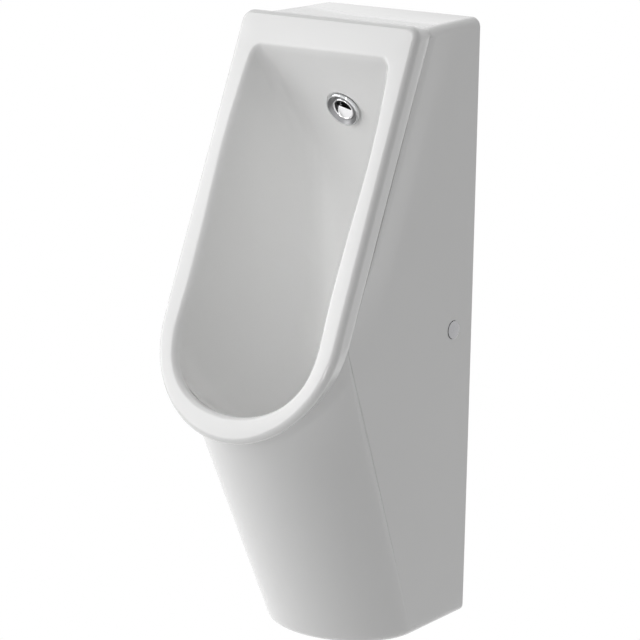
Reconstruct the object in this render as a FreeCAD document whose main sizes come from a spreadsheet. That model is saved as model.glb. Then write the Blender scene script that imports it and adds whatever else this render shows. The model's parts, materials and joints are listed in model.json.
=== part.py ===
"""Compact wall-hung urinal in glazed china, with its spreader, waste, bottle trap and side fixings.

Millimetres. The origin is on the wall plane, midway between the two wall fixings; +Z is up and
-Y faces the user. Heights in the sheet are taken from the lowest edge of the china.
"""
import FreeCAD, Part
import math
import os
import Sketcher
from types import SimpleNamespace

V = FreeCAD.Vector

# Driving dimensions: lengths in millimetres, angles in degrees
SIZES = {
    # China: the rim, a flat frame that leans back over a tapering skirt
    "height": 650.0,
    "rim_half_width": 115.0,
    "rim_top_depth": 119.0,
    "lip_height": 239.87,
    "rim_tilt": 24.3,
    "rim_thickness": 28.0,
    "rim_draft": 7.0,
    "rim_corner_radius": 16.0,
    "rim_edge_radius": 6.0,
    "mouth_edge_radius": 6.5,
    "rim_band": 27.0,
    "rim_lap": 3.5,
    # China: the skirt, a taper between the foot outline and the crown outline
    "rim_overhang": 27.05,
    "crown_step": 6.0,
    "crown_edge_radius": 10.0,
    "crown_flare": 3.5,
    "crown_back_setback": 12.5,
    "foot_edge_radius": 8.0,
    "foot_depth": 168.0,
    "foot_setback": 28.0,
    "foot_back_setback": 30.0,
    "skin_wall": 12.0,
    "rim_backing": 9.0,
    # China: the bowl
    "bowl_wall": 11.0,
    "bowl_back_depth": 45.0,
    "bowl_floor_height": 169.5,
    "bowl_floor_margin": 2.5,
    # China: side fixing holes
    "fixing_height": 321.0,
    "fixing_depth": 35.0,
    "fixing_seat_depth": 2.0,
    "fixing_seat_radius": 9.9,
    "fixing_hole_radius": 6.5,
    # Spreader nozzle, square to the leaning back wall of the bowl
    "nozzle_tilt": 28.0,
    "nozzle_seat_radius": 21.0,
    "nozzle_seat_wall": 7.9,
    "nozzle_hole_radius": 13.0,
    "nozzle_gasket_thickness": 1.0,
    "nozzle_gasket_radius": 18.2,
    "rosette_radius": 19.4,
    "rosette_thickness": 4.0,
    "rosette_edge_radius": 1.5,
    "funnel_mouth_radius": 17.2,
    "funnel_floor_radius": 12.6,
    "funnel_floor_thickness": 1.0,
    "shoulder_radius": 12.4,
    "shoulder_length": 6.0,
    "chamber_radius": 11.2,
    "chamber_depth": 4.0,
    "shank_radius": 10.4,
    "shank_bore_radius": 8.0,
    "shank_length": 38.0,
    "insert_length": 12.0,
    "insert_bore_radius": 6.8,
    "insert_disc_thickness": 1.2,
    "insert_slot_half_width": 9.0,
    "insert_slot_low": 2.4,
    "insert_slot_high": 7.4,
    "deflector_half_width": 8.6,
    "deflector_top": 1.8,
    "deflector_knee": 3.0,
    "deflector_reach": 8.2,
    "deflector_rise": 3.4,
    "deflector_bow": 5.5,
    "nozzle_washer_thickness": 3.0,
    "nozzle_washer_radius": 17.0,
    "nozzle_nut_flats": 32.0,
    "nozzle_nut_thickness": 8.0,
    # Inlet elbow between the shank and the wall
    "elbow_corner_depth": 46.0,
    "elbow_bend_radius": 40.0,
    "elbow_wall": 2.8,
    "elbow_start_gap": 1.0,
    "wall_gap": 0.6,
    "socket_radius": 17.0,
    "socket_length": 16.0,
    "socket_chamfer": 1.5,
    "inlet_seal_length": 10.0,
    "inlet_seal_bore_radius": 9.2,
    "inlet_seal_setback": 1.0,
    # Waste fitting through the bowl floor
    "waste_depth": 92.0,
    "waste_hole_radius": 22.0,
    "waste_recess_radius": 33.5,
    "waste_recess_depth": 3.5,
    "waste_gasket_thickness": 1.5,
    "waste_gasket_radius": 31.0,
    "waste_flange_radius": 32.0,
    "waste_flange_thickness": 2.0,
    "waste_tail_radius": 20.5,
    "waste_tail_bore_radius": 17.5,
    "waste_tail_length": 57.0,
    "waste_washer_thickness": 3.5,
    "waste_washer_radius": 31.0,
    "waste_nut_flats": 56.0,
    "waste_nut_thickness": 9.0,
    # Lift-out strainer in the waste flange
    "strainer_radius": 25.6,
    "strainer_thickness": 1.8,
    "strainer_seat_depth": 1.2,
    "strainer_collar_wall": 1.6,
    "strainer_collar_length": 5.0,
    "strainer_hole_radius": 2.1,
    "strainer_inner_ring_radius": 6.0,
    "strainer_outer_ring_radius": 11.8,
    # Bottle trap under the waste
    "trap_nut_drop": 34.0,
    "trap_nut_radius": 29.0,
    "trap_nut_length": 20.0,
    "trap_nut_roof": 4.0,
    "trap_seal_thickness": 4.0,
    "trap_collar_radius": 24.0,
    "trap_collar_length": 18.0,
    "trap_cover_thickness": 4.0,
    "trap_head_radius": 37.0,
    "trap_head_length": 54.0,
    "trap_wall": 3.5,
    "trap_spigot_radius": 35.0,
    "trap_spigot_wall": 2.5,
    "trap_spigot_length": 14.0,
    "dip_radius": 19.3,
    "dip_bore_radius": 17.0,
    "dip_length": 83.0,
    "cup_seal_thickness": 1.5,
    "cup_radius": 39.0,
    "cup_length": 39.5,
    "cup_wall": 3.0,
    "cup_bottom_chamfer": 8.0,
    "cup_rib_depth": 1.5,
    "cup_rib_half_width": 2.5,
    "cup_rib_length": 27.5,
    # Outlet to the wall
    "outlet_drop": 88.0,
    "branch_radius": 23.0,
    "branch_end_depth": 36.0,
    "outlet_seal_thickness": 4.0,
    "outlet_nut_radius": 28.5,
    "outlet_nut_length": 19.0,
    "outlet_nut_roof": 4.5,
    "outlet_pipe_radius": 20.0,
    "outlet_pipe_wall": 1.8,
    "outlet_pipe_reach": 48.0,
    "outlet_pipe_inside": 56.0,
    "outlet_pipe_chamfer": 0.9,
    "outlet_bead_height": 1.5,
    "outlet_bead_width": 3.0,
    "outlet_bead_depth": 9.0,
    # Wall brackets, one on each side
    "bracket_thickness": 4.0,
    "bracket_bend_radius": 6.0,
    "bracket_height": 36.0,
    "bracket_wall_leg": 47.0,
    "bracket_side_leg": 50.0,
    "bracket_slot_setback": 25.0,
    "bracket_slot_radius": 4.5,
    "bracket_slot_length": 16.0,
    "bush_radius": 8.1,
    "bush_length": 11.0,
    "bush_flange_radius": 10.5,
    "bush_flange_thickness": 1.6,
    "bush_gap": 0.54,
    # Side screws with their collars and push-fit caps
    "screw_radius": 3.0,
    "screw_length": 22.5,
    "screw_head_radius": 5.3,
    "screw_head_height": 3.2,
    "collar_flange_radius": 8.6,
    "collar_flange_thickness": 1.6,
    "collar_sleeve_radius": 6.2,
    "collar_sleeve_length": 8.0,
    "collar_recess_depth": 1.5,
    "cap_wall": 0.7,
    "cap_height": 4.3,
    "cap_lift": 0.3,
    "cap_roof": 1.2,
    "cap_crown_rise": 1.3,
    # Clearances and the overrun of cuts
    "running_gap": 0.05,
    "sliding_gap": 0.1,
    "push_gap": 0.2,
    "overrun": 60.0,
    "touch": 0.001,
}

# Bowl outlines above the floor. Levels as shares of the way from the lip down to the floor when
# negative, or up to the top; front depths as shares of the rim's run; nose depth, back half
# width, half width and back corner radius as shares of the bowl's half width.
BOWL_SHARES = [
    (-0.4529, 0.4398, 0.6844, 0.591, 0.693, 0.432),
    (0.0808, 0.9179, 0.9748, 0.750, 0.978, 0.455),
    (0.2710, 1.1856, 1.0024, 0.807, 1.006, 0.364),
    (0.5245, 1.1856, 1.0024, 0.807, 1.057, 0.295),
    (0.7610, 1.1856, 1.0024, 0.830, 1.227, 0.227),
    (0.9171, 1.1856, 1.0024, 0.932, 1.330, 0.136),
    (1.0341, 1.3055, 1.0024, 0.977, 1.386, 0.136),
]
# Back wall at these levels: upright rows as shares of its depth, leaning rows as shares of the rim's run
BOWL_BACK_SHARES = (1.1153, 1.0004, 0.9802, 1.0478)
BOWL_LEAN_SHARES = (-0.1351, 0.0752, 0.2115)
FLOOR_CORNER_SHARE = 0.833
# Place of the spreader on the leaning back wall
NOZZLE_LEVEL_SHARE = 0.76398
NOZZLE_LEAN_SHARE = -0.13122
# Nose depths of the skirt in its half widths
CROWN_NOSE_SHARE = 0.9536
FOOT_NOSE_SHARE = 0.8391
HALF_SHARE = 0.5
TWICE_SHARE = 2.0
SCREW_TIP_SHARE = 0.6
HEAD_DOME_SHARE = 0.4
HEAD_TOP_SHARE = 0.7
BEND_MIDDLE_SHARE = 1 - math.sqrt(0.5)
FULL_TURN = 360
QUARTER_TURN = 90
EDGE_SAMPLES = 9
HEX_CORNER_SHARE = 1 / math.sqrt(3)
FOOT_STEPS = 4
STRAINER_RING_COUNTS = (1, 6, 12)
CUP_RIB_COUNT = 12
SIDES = {"right": 1, "left": -1}


class Size:
    """A length with its value and the sheet formula that gives it."""

    def __init__(self, value, formula):
        self.value = value
        self.formula = formula

    def __add__(self, other):
        return Size(self.value + other.value, f"({self.formula} + {other.formula})")

    def __sub__(self, other):
        return Size(self.value - other.value, f"({self.formula} - {other.formula})")

    def __mul__(self, share):
        return Size(self.value * share, f"({self.formula} * {share!r})")

    def __neg__(self):
        return self * -1


ZERO = Size(0.0, "0")


def china_sizes(s):
    """Work out the widths and depths of rim, skirt and bowl."""
    tilt = math.radians(s["rim_tilt"])
    rim_run = (s["height"] - s["lip_height"]) * math.tan(tilt)
    lip_depth = s["rim_top_depth"] + rim_run
    crown_half = s["rim_half_width"] + s["crown_flare"]
    foot_half = s["rim_half_width"] - s["foot_setback"]
    skirt_slope = (lip_depth - s["rim_overhang"] - s["foot_depth"]) / s["lip_height"]
    crown_depth = s["foot_depth"] + skirt_slope * (s["height"] - s["crown_step"])
    return {
        "rim_run": rim_run,
        "rim_length": rim_run / math.sin(tilt),
        "bowl_half_width": s["rim_half_width"] - s["rim_band"],
        "crown_half_width": crown_half,
        "crown_back_half_width": s["rim_half_width"] - s["crown_back_setback"],
        "crown_nose_depth": crown_half * CROWN_NOSE_SHARE,
        "crown_nose_centre": crown_depth - crown_half * CROWN_NOSE_SHARE,
        "foot_half_width": foot_half,
        "foot_back_half_width": s["rim_half_width"] - s["foot_back_setback"],
        "foot_nose_depth": foot_half * FOOT_NOSE_SHARE,
        "foot_nose_centre": s["foot_depth"] - foot_half * FOOT_NOSE_SHARE,
        "nozzle_height": s["lip_height"] + (s["height"] - s["lip_height"]) * NOZZLE_LEVEL_SHARE,
        "nozzle_depth": s["rim_top_depth"] + rim_run * NOZZLE_LEAN_SHARE,
    }


def inlet_sizes(s):
    """Work out where the inlet elbow bends and ends."""
    tilt = math.radians(s["nozzle_tilt"])
    run = s["nozzle_depth"] - s["elbow_corner_depth"]
    tangent = s["elbow_bend_radius"] * math.tan(tilt / 2)
    reach = run / math.cos(tilt) - s["nozzle_seat_wall"] - s["nozzle_washer_thickness"]
    reach -= s["nozzle_nut_thickness"] + s["elbow_start_gap"]
    return {
        "inlet_height": s["nozzle_height"] + run * math.tan(tilt),
        "bend_start_depth": s["elbow_corner_depth"] - tangent,
        "bend_end_depth": s["elbow_corner_depth"] + tangent * math.cos(tilt),
        "bend_end_drop": tangent * math.sin(tilt),
        "elbow_end_depth": s["elbow_corner_depth"] + reach * math.cos(tilt),
        "elbow_end_drop": reach * math.sin(tilt),
    }


def fixing_sizes(s):
    """Work out the china's side at the fixing, and the bracket's place behind it."""
    rise = s["fixing_height"] / (s["height"] - s["crown_step"])
    back, half, centre = (
        s[f"foot_{name}"] + (s[f"crown_{name}"] - s[f"foot_{name}"]) * rise
        for name in ("back_half_width", "half_width", "nose_centre")
    )
    side = back + (half - back) * s["fixing_depth"] / centre
    face = side - s["skin_wall"] - s["bush_flange_thickness"] - s["bush_gap"]
    return {
        "fixing_seat": side - s["fixing_seat_depth"],
        "bracket_face": face,
        "bracket_slot_centre": face - s["bracket_slot_setback"],
    }


doc = FreeCAD.newDocument("urinal")
sheet = doc.addObject("Spreadsheet::Sheet", "sizes")
VALUES = dict(SIZES)
for follow in (china_sizes, inlet_sizes, fixing_sizes):
    VALUES.update(follow(VALUES))
for row, (name, number) in enumerate(VALUES.items(), start=1):
    sheet.set(f"A{row}", name)
    sheet.set(f"B{row}", str(number))
    sheet.setAlias(f"B{row}", name)
doc.recompute()
d = SimpleNamespace(**{name: Size(number, f"sizes.{name}") for name, number in VALUES.items()})
mm = SimpleNamespace(**VALUES)
parts = []


def origin_plane(body, role):
    return next(plane for plane in body.Origin.OriginFeatures if plane.Role == role)


def new_sketch(body, role, name, offset=None):
    """Make a sketch on one of the body's own planes, moved along its normal by offset."""
    sketch = body.newObject("Sketcher::SketchObject", f"{body.Name}_{name}")
    sketch.AttachmentSupport = [(origin_plane(body, role), "")]
    sketch.MapMode = "FlatFace"
    if offset is not None:
        sketch.setExpression("AttachmentOffset.Base.z", offset.formula)
    return sketch


def fix_coordinate(sketch, edge, end, kind, size, name):
    """Bind one coordinate of an edge's end to the sheet."""
    if size is ZERO:
        axis = -2 if kind == "DistanceX" else -1
        sketch.addConstraint(Sketcher.Constraint("PointOnObject", edge, end, axis))
        return
    index = sketch.addConstraint(Sketcher.Constraint(kind, -1, 1, edge, end, size.value))
    sketch.renameConstraint(index, name)
    sketch.setExpression(f"Constraints.{name}", size.formula)


def edge_between(start, end, bow):
    """Make a line, or an arc of radius bow: to the left of the way when positive, else to the right."""
    if bow is None:
        return Part.LineSegment(start, end), 1, 2
    chord = end - start
    across = V(-chord.y, chord.x, 0).normalize() * math.copysign(1, bow.value)
    radius = abs(bow.value)
    half = chord.Length * HALF_SHARE
    centre = start + chord * HALF_SHARE + across * math.sqrt(max(radius * radius - half * half, 0))
    ends = (1, 2) if bow.value > 0 else (2, 1)
    first, last = (start, end) if bow.value > 0 else (end, start)
    angles = [math.atan2(point.y - centre.y, point.x - centre.x) for point in (first, last)]
    return Part.ArcOfCircle(Part.Circle(centre, V(0, 0, 1), radius), *angles), *ends


def draw(sketch, corners):
    """Draw a closed outline. A third entry of a corner is the bow of the edge that leaves it."""
    first = sketch.GeometryCount
    places = [V(corner[0].value, corner[1].value, 0) for corner in corners]
    ends = []
    for index, corner in enumerate(corners):
        bow = corner[2] if len(corner) > 2 else None
        edge, start, end = edge_between(places[index], places[(index + 1) % len(places)], bow)
        sketch.addGeometry(edge)
        ends.append((start, end))
    for index, corner in enumerate(corners):
        edge = first + index
        after = (index + 1) % len(corners)
        sketch.addConstraint(
            Sketcher.Constraint("Coincident", edge, ends[index][1], first + after, ends[after][0])
        )
        fix_coordinate(sketch, edge, ends[index][0], "DistanceX", corner[0], f"x{edge}")
        fix_coordinate(sketch, edge, ends[index][0], "DistanceY", corner[1], f"y{edge}")
        if len(corner) > 2:
            radius = corner[2] if corner[2].value > 0 else -corner[2]
            row = sketch.addConstraint(Sketcher.Constraint("Radius", edge, radius.value))
            sketch.renameConstraint(row, f"r{edge}")
            sketch.setExpression(f"Constraints.r{edge}", radius.formula)


def circle(sketch, x, y, radius):
    edge = sketch.addGeometry(Part.Circle(V(x.value, y.value, 0), V(0, 0, 1), radius.value))
    fix_coordinate(sketch, edge, 3, "DistanceX", x, f"x{edge}")
    fix_coordinate(sketch, edge, 3, "DistanceY", y, f"y{edge}")
    row = sketch.addConstraint(Sketcher.Constraint("Radius", edge, radius.value))
    sketch.renameConstraint(row, f"r{edge}")
    sketch.setExpression(f"Constraints.r{edge}", radius.formula)


TURNS = {
    "up": FreeCAD.Rotation(V(0, 0, 1), 0),
    "right": FreeCAD.Rotation(V(0, 1, 0), QUARTER_TURN),
    "left": FreeCAD.Rotation(V(0, 1, 0), -QUARTER_TURN),
    "back": FreeCAD.Rotation(V(1, 0, 0), -QUARTER_TURN),
    "nozzle": FreeCAD.Rotation(V(1, 0, 0), QUARTER_TURN + mm.nozzle_tilt),
}


def put(thing, turn="up", x=ZERO, y=ZERO, height=ZERO):
    """Place an object: its own Z axis along the turn, its origin at the given place."""
    thing.Placement = FreeCAD.Placement(V(0, 0, 0), TURNS[turn])
    level = height - d.fixing_height
    for axis, size in zip("xyz", (x, y, level)):
        if size is not ZERO:
            thing.setExpression(f"Placement.Base.{axis}", size.formula)


def new_body(label):
    body = doc.addObject("PartDesign::Body", label)
    parts.append(body)
    return body


def turned(label, profile):
    """A body of revolution: the profile is radius and height along its own Z axis."""
    body = new_body(label)
    sketch = new_sketch(body, "XZ_Plane", "profile")
    draw(sketch, profile)
    feature = body.newObject("PartDesign::Revolution", f"{body.Name}_turn")
    feature.Profile = sketch
    feature.ReferenceAxis = (sketch, ["V_Axis"])
    feature.Angle = FULL_TURN
    return body


def ring(inner, outer, low, high):
    return [(inner, low), (outer, low), (outer, high), (inner, high)]


def pad(body, sketch, length, name, midplane=False, reverse=False):
    feature = body.newObject("PartDesign::Pad", f"{body.Name}_{name}")
    feature.Profile = sketch
    feature.setExpression("Length", length.formula)
    feature.Midplane = midplane
    feature.Reversed = reverse
    return feature


def pocket(body, sketch, length, name, midplane=False, reverse=False):
    feature = body.newObject("PartDesign::Pocket", f"{body.Name}_{name}")
    feature.Profile = sketch
    feature.setExpression("Length", length.formula)
    feature.Midplane = midplane
    feature.Reversed = reverse
    return feature


def polar(body, features, count, name):
    feature = body.newObject("PartDesign::PolarPattern", f"{body.Name}_{name}")
    feature.Originals = features
    feature.Axis = (features[0].Profile[0], ["N_Axis"])
    feature.Angle = FULL_TURN
    feature.Occurrences = count
    body.Tip = feature
    return feature


def hex_nut(label, flats, thickness, bore, low):
    """A hexagon nut standing on the level low of its own Z axis."""
    body = new_body(label)
    sketch = new_sketch(body, "XY_Plane", "hexagon", low)
    side = flats * HALF_SHARE
    corner = flats * HEX_CORNER_SHARE
    half = corner * HALF_SHARE
    right = [(ZERO, -corner), (side, -half), (side, half)]
    left = [(ZERO, corner), (-side, half), (-side, -half)]
    draw(sketch, right + left)
    circle(sketch, ZERO, ZERO, bore)
    pad(body, sketch, thickness, "height")
    return body


def outline(level, half_width, back_half_width, back_depth, nose_centre, nose_depth, corner_radius):
    """A level outline of the china: an elliptical nose, flared sides and a straight back."""
    flare = (half_width - back_half_width) / (nose_centre - back_depth)
    lean = math.atan(flare * nose_depth / half_width)
    join = V(half_width * math.cos(lean), nose_depth * math.sin(lean) - nose_centre, level)
    corner = V(join.x + flare * (join.y + back_depth), -back_depth, level)
    nose = Part.Ellipse(V(0, -nose_centre, level), half_width, nose_depth)
    edges = [Part.ArcOfEllipse(nose, math.pi - lean, 2 * math.pi + lean).toShape()]
    points = [join, corner]
    if corner_radius:
        side_way = (join - corner).normalize()
        back_way = V(-1, 0, 0)
        half_turn = side_way.getAngle(back_way) / 2
        middle_way = (side_way + back_way).normalize()
        cut = corner_radius / math.tan(half_turn)
        points = [join, corner + side_way * cut]
        points.append(corner + middle_way * (corner_radius / math.sin(half_turn) - corner_radius))
        points.append(corner + back_way * cut)
    mirrored = [V(-point.x, point.y, point.z) for point in reversed(points)]
    edges.append(Part.LineSegment(points[0], points[1]).toShape())
    if corner_radius:
        edges.append(Part.Arc(*points[1:]).toShape())
    edges.append(Part.LineSegment(points[-1], mirrored[0]).toShape())
    if corner_radius:
        edges.append(Part.Arc(*mirrored[:3]).toShape())
    edges.append(Part.LineSegment(mirrored[-2], mirrored[-1]).toShape())
    return Part.Wire(edges)


def rim_depth(level):
    """Distance of the rim's front plane from the wall."""
    return mm.rim_top_depth + (mm.height - level) * math.tan(math.radians(mm.rim_tilt))


def in_front_of_rim(setback):
    """Everything in front of a plane that lies behind the rim's front plane by setback."""
    low = -mm.overrun
    high = mm.height + mm.overrun
    far = rim_depth(low) + mm.crown_nose_centre + mm.crown_nose_depth
    side = mm.rim_half_width + mm.overrun
    points = [V(-side, setback - rim_depth(low), low), V(-side, -far, low)]
    points += [V(-side, -far, high), V(-side, setback - rim_depth(high), high)]
    return Part.Face(Part.makePolygon(points + points[:1])).extrude(V(side + side, 0, 0))


def behind_wall():
    """Everything behind the wall plane."""
    side = mm.rim_half_width + mm.overrun
    low = V(-side, 0, -mm.overrun)
    return Part.makeBox(side + side, mm.overrun + mm.overrun, mm.height + mm.overrun + mm.overrun, low)


def skirt_outline(level, inset, run_on):
    """The skirt's outline at a level, drawn in by inset and run on past the wall plane."""
    rise = level / (mm.height - mm.crown_step)
    half, back, centre, nose = (
        VALUES[f"foot_{name}"] + (VALUES[f"crown_{name}"] - VALUES[f"foot_{name}"]) * rise
        for name in ("half_width", "back_half_width", "nose_centre", "nose_depth")
    )
    back -= (half - back) / centre * run_on
    return outline(level, half - inset, back - inset, -run_on, centre, nose - inset, 0)


def outer_block():
    """The china's outside: skirt and rim frame, with the bowl and the hollow still filled."""
    crown_height = mm.height - mm.crown_step
    wires = []
    for step in range(FOOT_STEPS + 1):
        turn = math.radians(QUARTER_TURN) * step / FOOT_STEPS
        level = mm.foot_edge_radius * (1 - math.cos(turn))
        wires.append(skirt_outline(level, mm.foot_edge_radius * (1 - math.sin(turn)), mm.overrun))
    wires.append(skirt_outline(crown_height, 0, mm.overrun))
    block = Part.makeLoft(wires, True, True)
    block = block.cut(behind_wall()).cut(in_front_of_rim(mm.rim_thickness - mm.rim_lap))
    crown_edges = [
        edge for edge in block.Edges
        if all(abs(v.Z - crown_height) < mm.touch for v in edge.Vertexes)
        and abs(sum(v.X for v in edge.Vertexes)) > mm.crown_back_half_width
    ]
    block = block.makeFillet(mm.crown_edge_radius, crown_edges)
    return block.fuse(rim_frame())


def rim_frame():
    """The rim's outer form: upright sides, a half-round lower end, and a draft towards the wall."""
    tilt = math.radians(mm.rim_tilt)
    down = V(0, -math.sin(tilt), -math.cos(tilt))
    centre = mm.rim_length - mm.rim_half_width

    def rim_wire(inset, setback):
        top = V(0, setback - mm.rim_top_depth, mm.height)
        half = mm.rim_half_width - inset
        radius = mm.rim_corner_radius - inset
        bend = radius * BEND_MIDDLE_SHARE

        def point(across, along):
            return top + V(across, 0, 0) + down * along

        right = [point(half - radius, inset), point(half - bend, inset + bend), point(half, inset + radius)]
        left = [V(-p.x, p.y, p.z) for p in reversed(right)]
        end = [point(half, centre), point(0, centre + half), point(-half, centre)]
        return Part.Wire([
            Part.LineSegment(left[2], right[0]).toShape(),
            Part.Arc(*right).toShape(),
            Part.LineSegment(right[2], end[0]).toShape(),
            Part.Arc(*end).toShape(),
            Part.LineSegment(end[2], left[0]).toShape(),
            Part.Arc(*left).toShape(),
        ])

    wires = [rim_wire(0, 0), rim_wire(mm.rim_draft, mm.rim_thickness)]
    frame = Part.makeLoft(wires, True, True)
    front = [
        edge for edge in frame.Edges
        if all(abs(v.Y + rim_depth(v.Z)) < mm.touch for v in edge.Vertexes)
    ]
    return frame.makeFillet(mm.rim_edge_radius, front)


def bowl_level(share):
    """Height of a bowl outline: below the lip a share of the way to the floor, above it to the top."""
    span = mm.height - mm.lip_height if share > 0 else mm.lip_height - mm.bowl_floor_height
    return mm.lip_height + span * share


def bowl(wall):
    """The bowl's hollow, or with a wall its outside, lofted from the floor to above the rim."""
    floor = mm.waste_recess_radius + mm.bowl_floor_margin
    corner = floor * FLOOR_CORNER_SHARE + wall
    back = mm.waste_depth - floor - wall
    floor_level = mm.bowl_floor_height - wall
    wires = [outline(floor_level, floor + wall, floor + wall, back, mm.waste_depth, floor + wall, corner)]
    backs = [share * mm.bowl_back_depth for share in BOWL_BACK_SHARES]
    backs += [mm.rim_top_depth + share * mm.rim_run for share in BOWL_LEAN_SHARES]
    for shares, back in zip(BOWL_SHARES, backs):
        front = mm.rim_top_depth + mm.rim_run * shares[1] + wall
        nose, back_half, half, corner = (share * mm.bowl_half_width + wall for share in shares[2:])
        level = bowl_level(shares[0])
        wires.append(outline(level, half, back_half, back - wall, front - nose, nose, corner))
    return Part.makeLoft(wires, True, False)


def china_shell():
    """The cast shell: outer skin, bowl and the hollow between them, open at the back and below."""
    crown_inside = mm.height - mm.crown_step - mm.skin_wall
    ends = [skirt_outline(level, mm.skin_wall, mm.overrun) for level in (-mm.overrun, crown_inside)]
    hollow = Part.makeLoft(ends, True, True)
    hollow = hollow.cut(in_front_of_rim(mm.rim_thickness + mm.rim_backing)).cut(bowl(mm.bowl_wall))
    shell = outer_block().cut(hollow).cut(bowl(0))
    mouth = [edge for edge in shell.Edges if all(on_mouth(point) for point in edge.discretize(EDGE_SAMPLES))]
    return shell.makeFillet(mm.mouth_edge_radius, mouth)


def on_mouth(point):
    """Whether a point lies on the rim's front plane, inside its outer edge."""
    in_plane = abs(point.y + rim_depth(point.z)) < mm.touch
    inside = abs(point.x) < mm.rim_half_width - mm.rim_draft and point.z < mm.height - mm.rim_corner_radius
    return in_plane and inside


def drill(name, radius, length, turn, x=ZERO, y=ZERO, height=ZERO):
    """A round cutter standing on its place along the turn."""
    tool = doc.addObject("Part::Cylinder", name)
    tool.setExpression("Radius", radius.formula)
    tool.setExpression("Height", length.formula)
    put(tool, turn, x, y, height)
    return tool


def along_nozzle(distance):
    """Place on the nozzle's axis, distance out from its seat, as depth and height."""
    tilt = math.radians(mm.nozzle_tilt)
    return -d.nozzle_depth - distance * math.cos(tilt), d.nozzle_height - distance * math.sin(tilt)


def build_china():
    raw = doc.addObject("Part::Feature", "china_casting")
    raw.Shape = china_shell()
    raw.Placement = FreeCAD.Placement(V(0, 0, -mm.fixing_height), FreeCAD.Rotation())
    y, z = along_nozzle(ZERO)
    back_y, back_z = along_nozzle(-d.nozzle_seat_wall - d.overrun)
    through = d.overrun + d.nozzle_seat_wall + d.overrun
    under = d.bowl_floor_height - d.bowl_wall - d.overrun
    recess = d.bowl_floor_height - d.waste_recess_depth
    tools = [
        drill("nozzle_hole", d.nozzle_hole_radius, through, "nozzle", ZERO, back_y, back_z),
        drill("nozzle_seat", d.nozzle_seat_radius, d.overrun, "nozzle", ZERO, y, z),
        drill("nozzle_back_seat", d.nozzle_seat_radius, d.overrun, "nozzle", ZERO, back_y, back_z),
        drill("waste_hole", d.waste_hole_radius, d.overrun * TWICE_SHARE, "up", ZERO, -d.waste_depth, under),
        drill("waste_recess", d.waste_recess_radius, d.overrun, "up", ZERO, -d.waste_depth, recess),
    ]
    for side, sign in SIDES.items():
        inside = d.fixing_seat - d.skin_wall - d.fixing_seat_depth
        place = (-d.fixing_depth, d.fixing_height)
        radius = d.fixing_hole_radius
        tools.append(drill(f"fixing_hole_{side}", radius, d.overrun, side, inside * sign, *place))
        radius = d.fixing_seat_radius
        tools.append(drill(f"fixing_seat_{side}", radius, d.overrun, side, d.fixing_seat * sign, *place))
    china = raw
    for tool in tools:
        opened = doc.addObject("Part::Cut", f"{tool.Name}_cut")
        opened.Base = china
        opened.Tool = tool
        china = opened
    china.Label = "ceramic_body"
    parts.append(china)


def put_on_nozzle(body):
    put(body, "nozzle", ZERO, -d.nozzle_depth, d.nozzle_height)


def build_nozzle():
    face = d.nozzle_gasket_thickness
    front = face + d.rosette_thickness
    floor = face + d.funnel_floor_thickness
    gasket = ring(d.nozzle_hole_radius + d.sliding_gap, d.nozzle_gasket_radius, ZERO, face)
    put_on_nozzle(turned("nozzle_gasket", gasket))
    rosette = [
        (d.shank_bore_radius, -d.shank_length),
        (d.shank_radius, -d.shank_length),
        (d.shank_radius, -d.shoulder_length),
        (d.shoulder_radius, -d.shoulder_length),
        (d.shoulder_radius, face),
        (d.rosette_radius, face),
        (d.rosette_radius, front - d.rosette_edge_radius, d.rosette_edge_radius),
        (d.rosette_radius - d.rosette_edge_radius, front),
        (d.funnel_mouth_radius, front),
        (d.funnel_floor_radius, floor),
        (d.chamber_radius, floor),
        (d.chamber_radius, -d.chamber_depth),
        (d.shank_bore_radius, -d.chamber_depth),
    ]
    put_on_nozzle(turned("nozzle_rosette", rosette))
    build_insert(floor)
    back = -d.nozzle_seat_wall
    low = back - d.nozzle_washer_thickness
    washer = ring(d.shank_radius + d.sliding_gap, d.nozzle_washer_radius, low, back)
    put_on_nozzle(turned("nozzle_washer", washer))
    nut_low = low - d.nozzle_nut_thickness
    bore = d.shank_radius + d.running_gap
    put_on_nozzle(hex_nut("nozzle_nut", d.nozzle_nut_flats, d.nozzle_nut_thickness, bore, nut_low))


def build_insert(floor):
    """The water guide in the rosette: a plug, a disc with a slot, and the bowed scoop that fans the water."""
    plug_radius = d.shank_bore_radius - d.running_gap
    disc_radius = d.funnel_floor_radius - d.sliding_gap
    disc_top = floor + d.insert_disc_thickness
    profile = [
        (d.insert_bore_radius, floor - d.insert_length),
        (plug_radius, floor - d.insert_length),
        (plug_radius, floor),
        (disc_radius, floor),
        (disc_radius, disc_top),
        (ZERO, disc_top),
        (ZERO, floor),
        (d.insert_bore_radius, floor),
    ]
    body = turned("nozzle_insert", profile)
    scoop = new_sketch(body, "YZ_Plane", "scoop")
    tip = disc_top + d.deflector_rise
    root = disc_top - d.insert_disc_thickness * HALF_SHARE
    draw(scoop, [
        (-d.deflector_reach, root),
        (d.deflector_top, root),
        (d.deflector_top, disc_top, d.deflector_bow),
        (-d.deflector_knee, tip),
        (-d.deflector_reach, tip),
    ])
    pad(body, scoop, d.deflector_half_width * TWICE_SHARE, "deflector", midplane=True)
    slot = new_sketch(body, "XY_Plane", "slot", disc_top)
    wide = d.insert_slot_half_width
    low, high = d.insert_slot_low, d.insert_slot_high
    draw(slot, [(-wide, low), (wide, low), (wide, high), (-wide, high)])
    pocket(body, slot, d.insert_disc_thickness, "slot_cut")
    put_on_nozzle(body)


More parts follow.
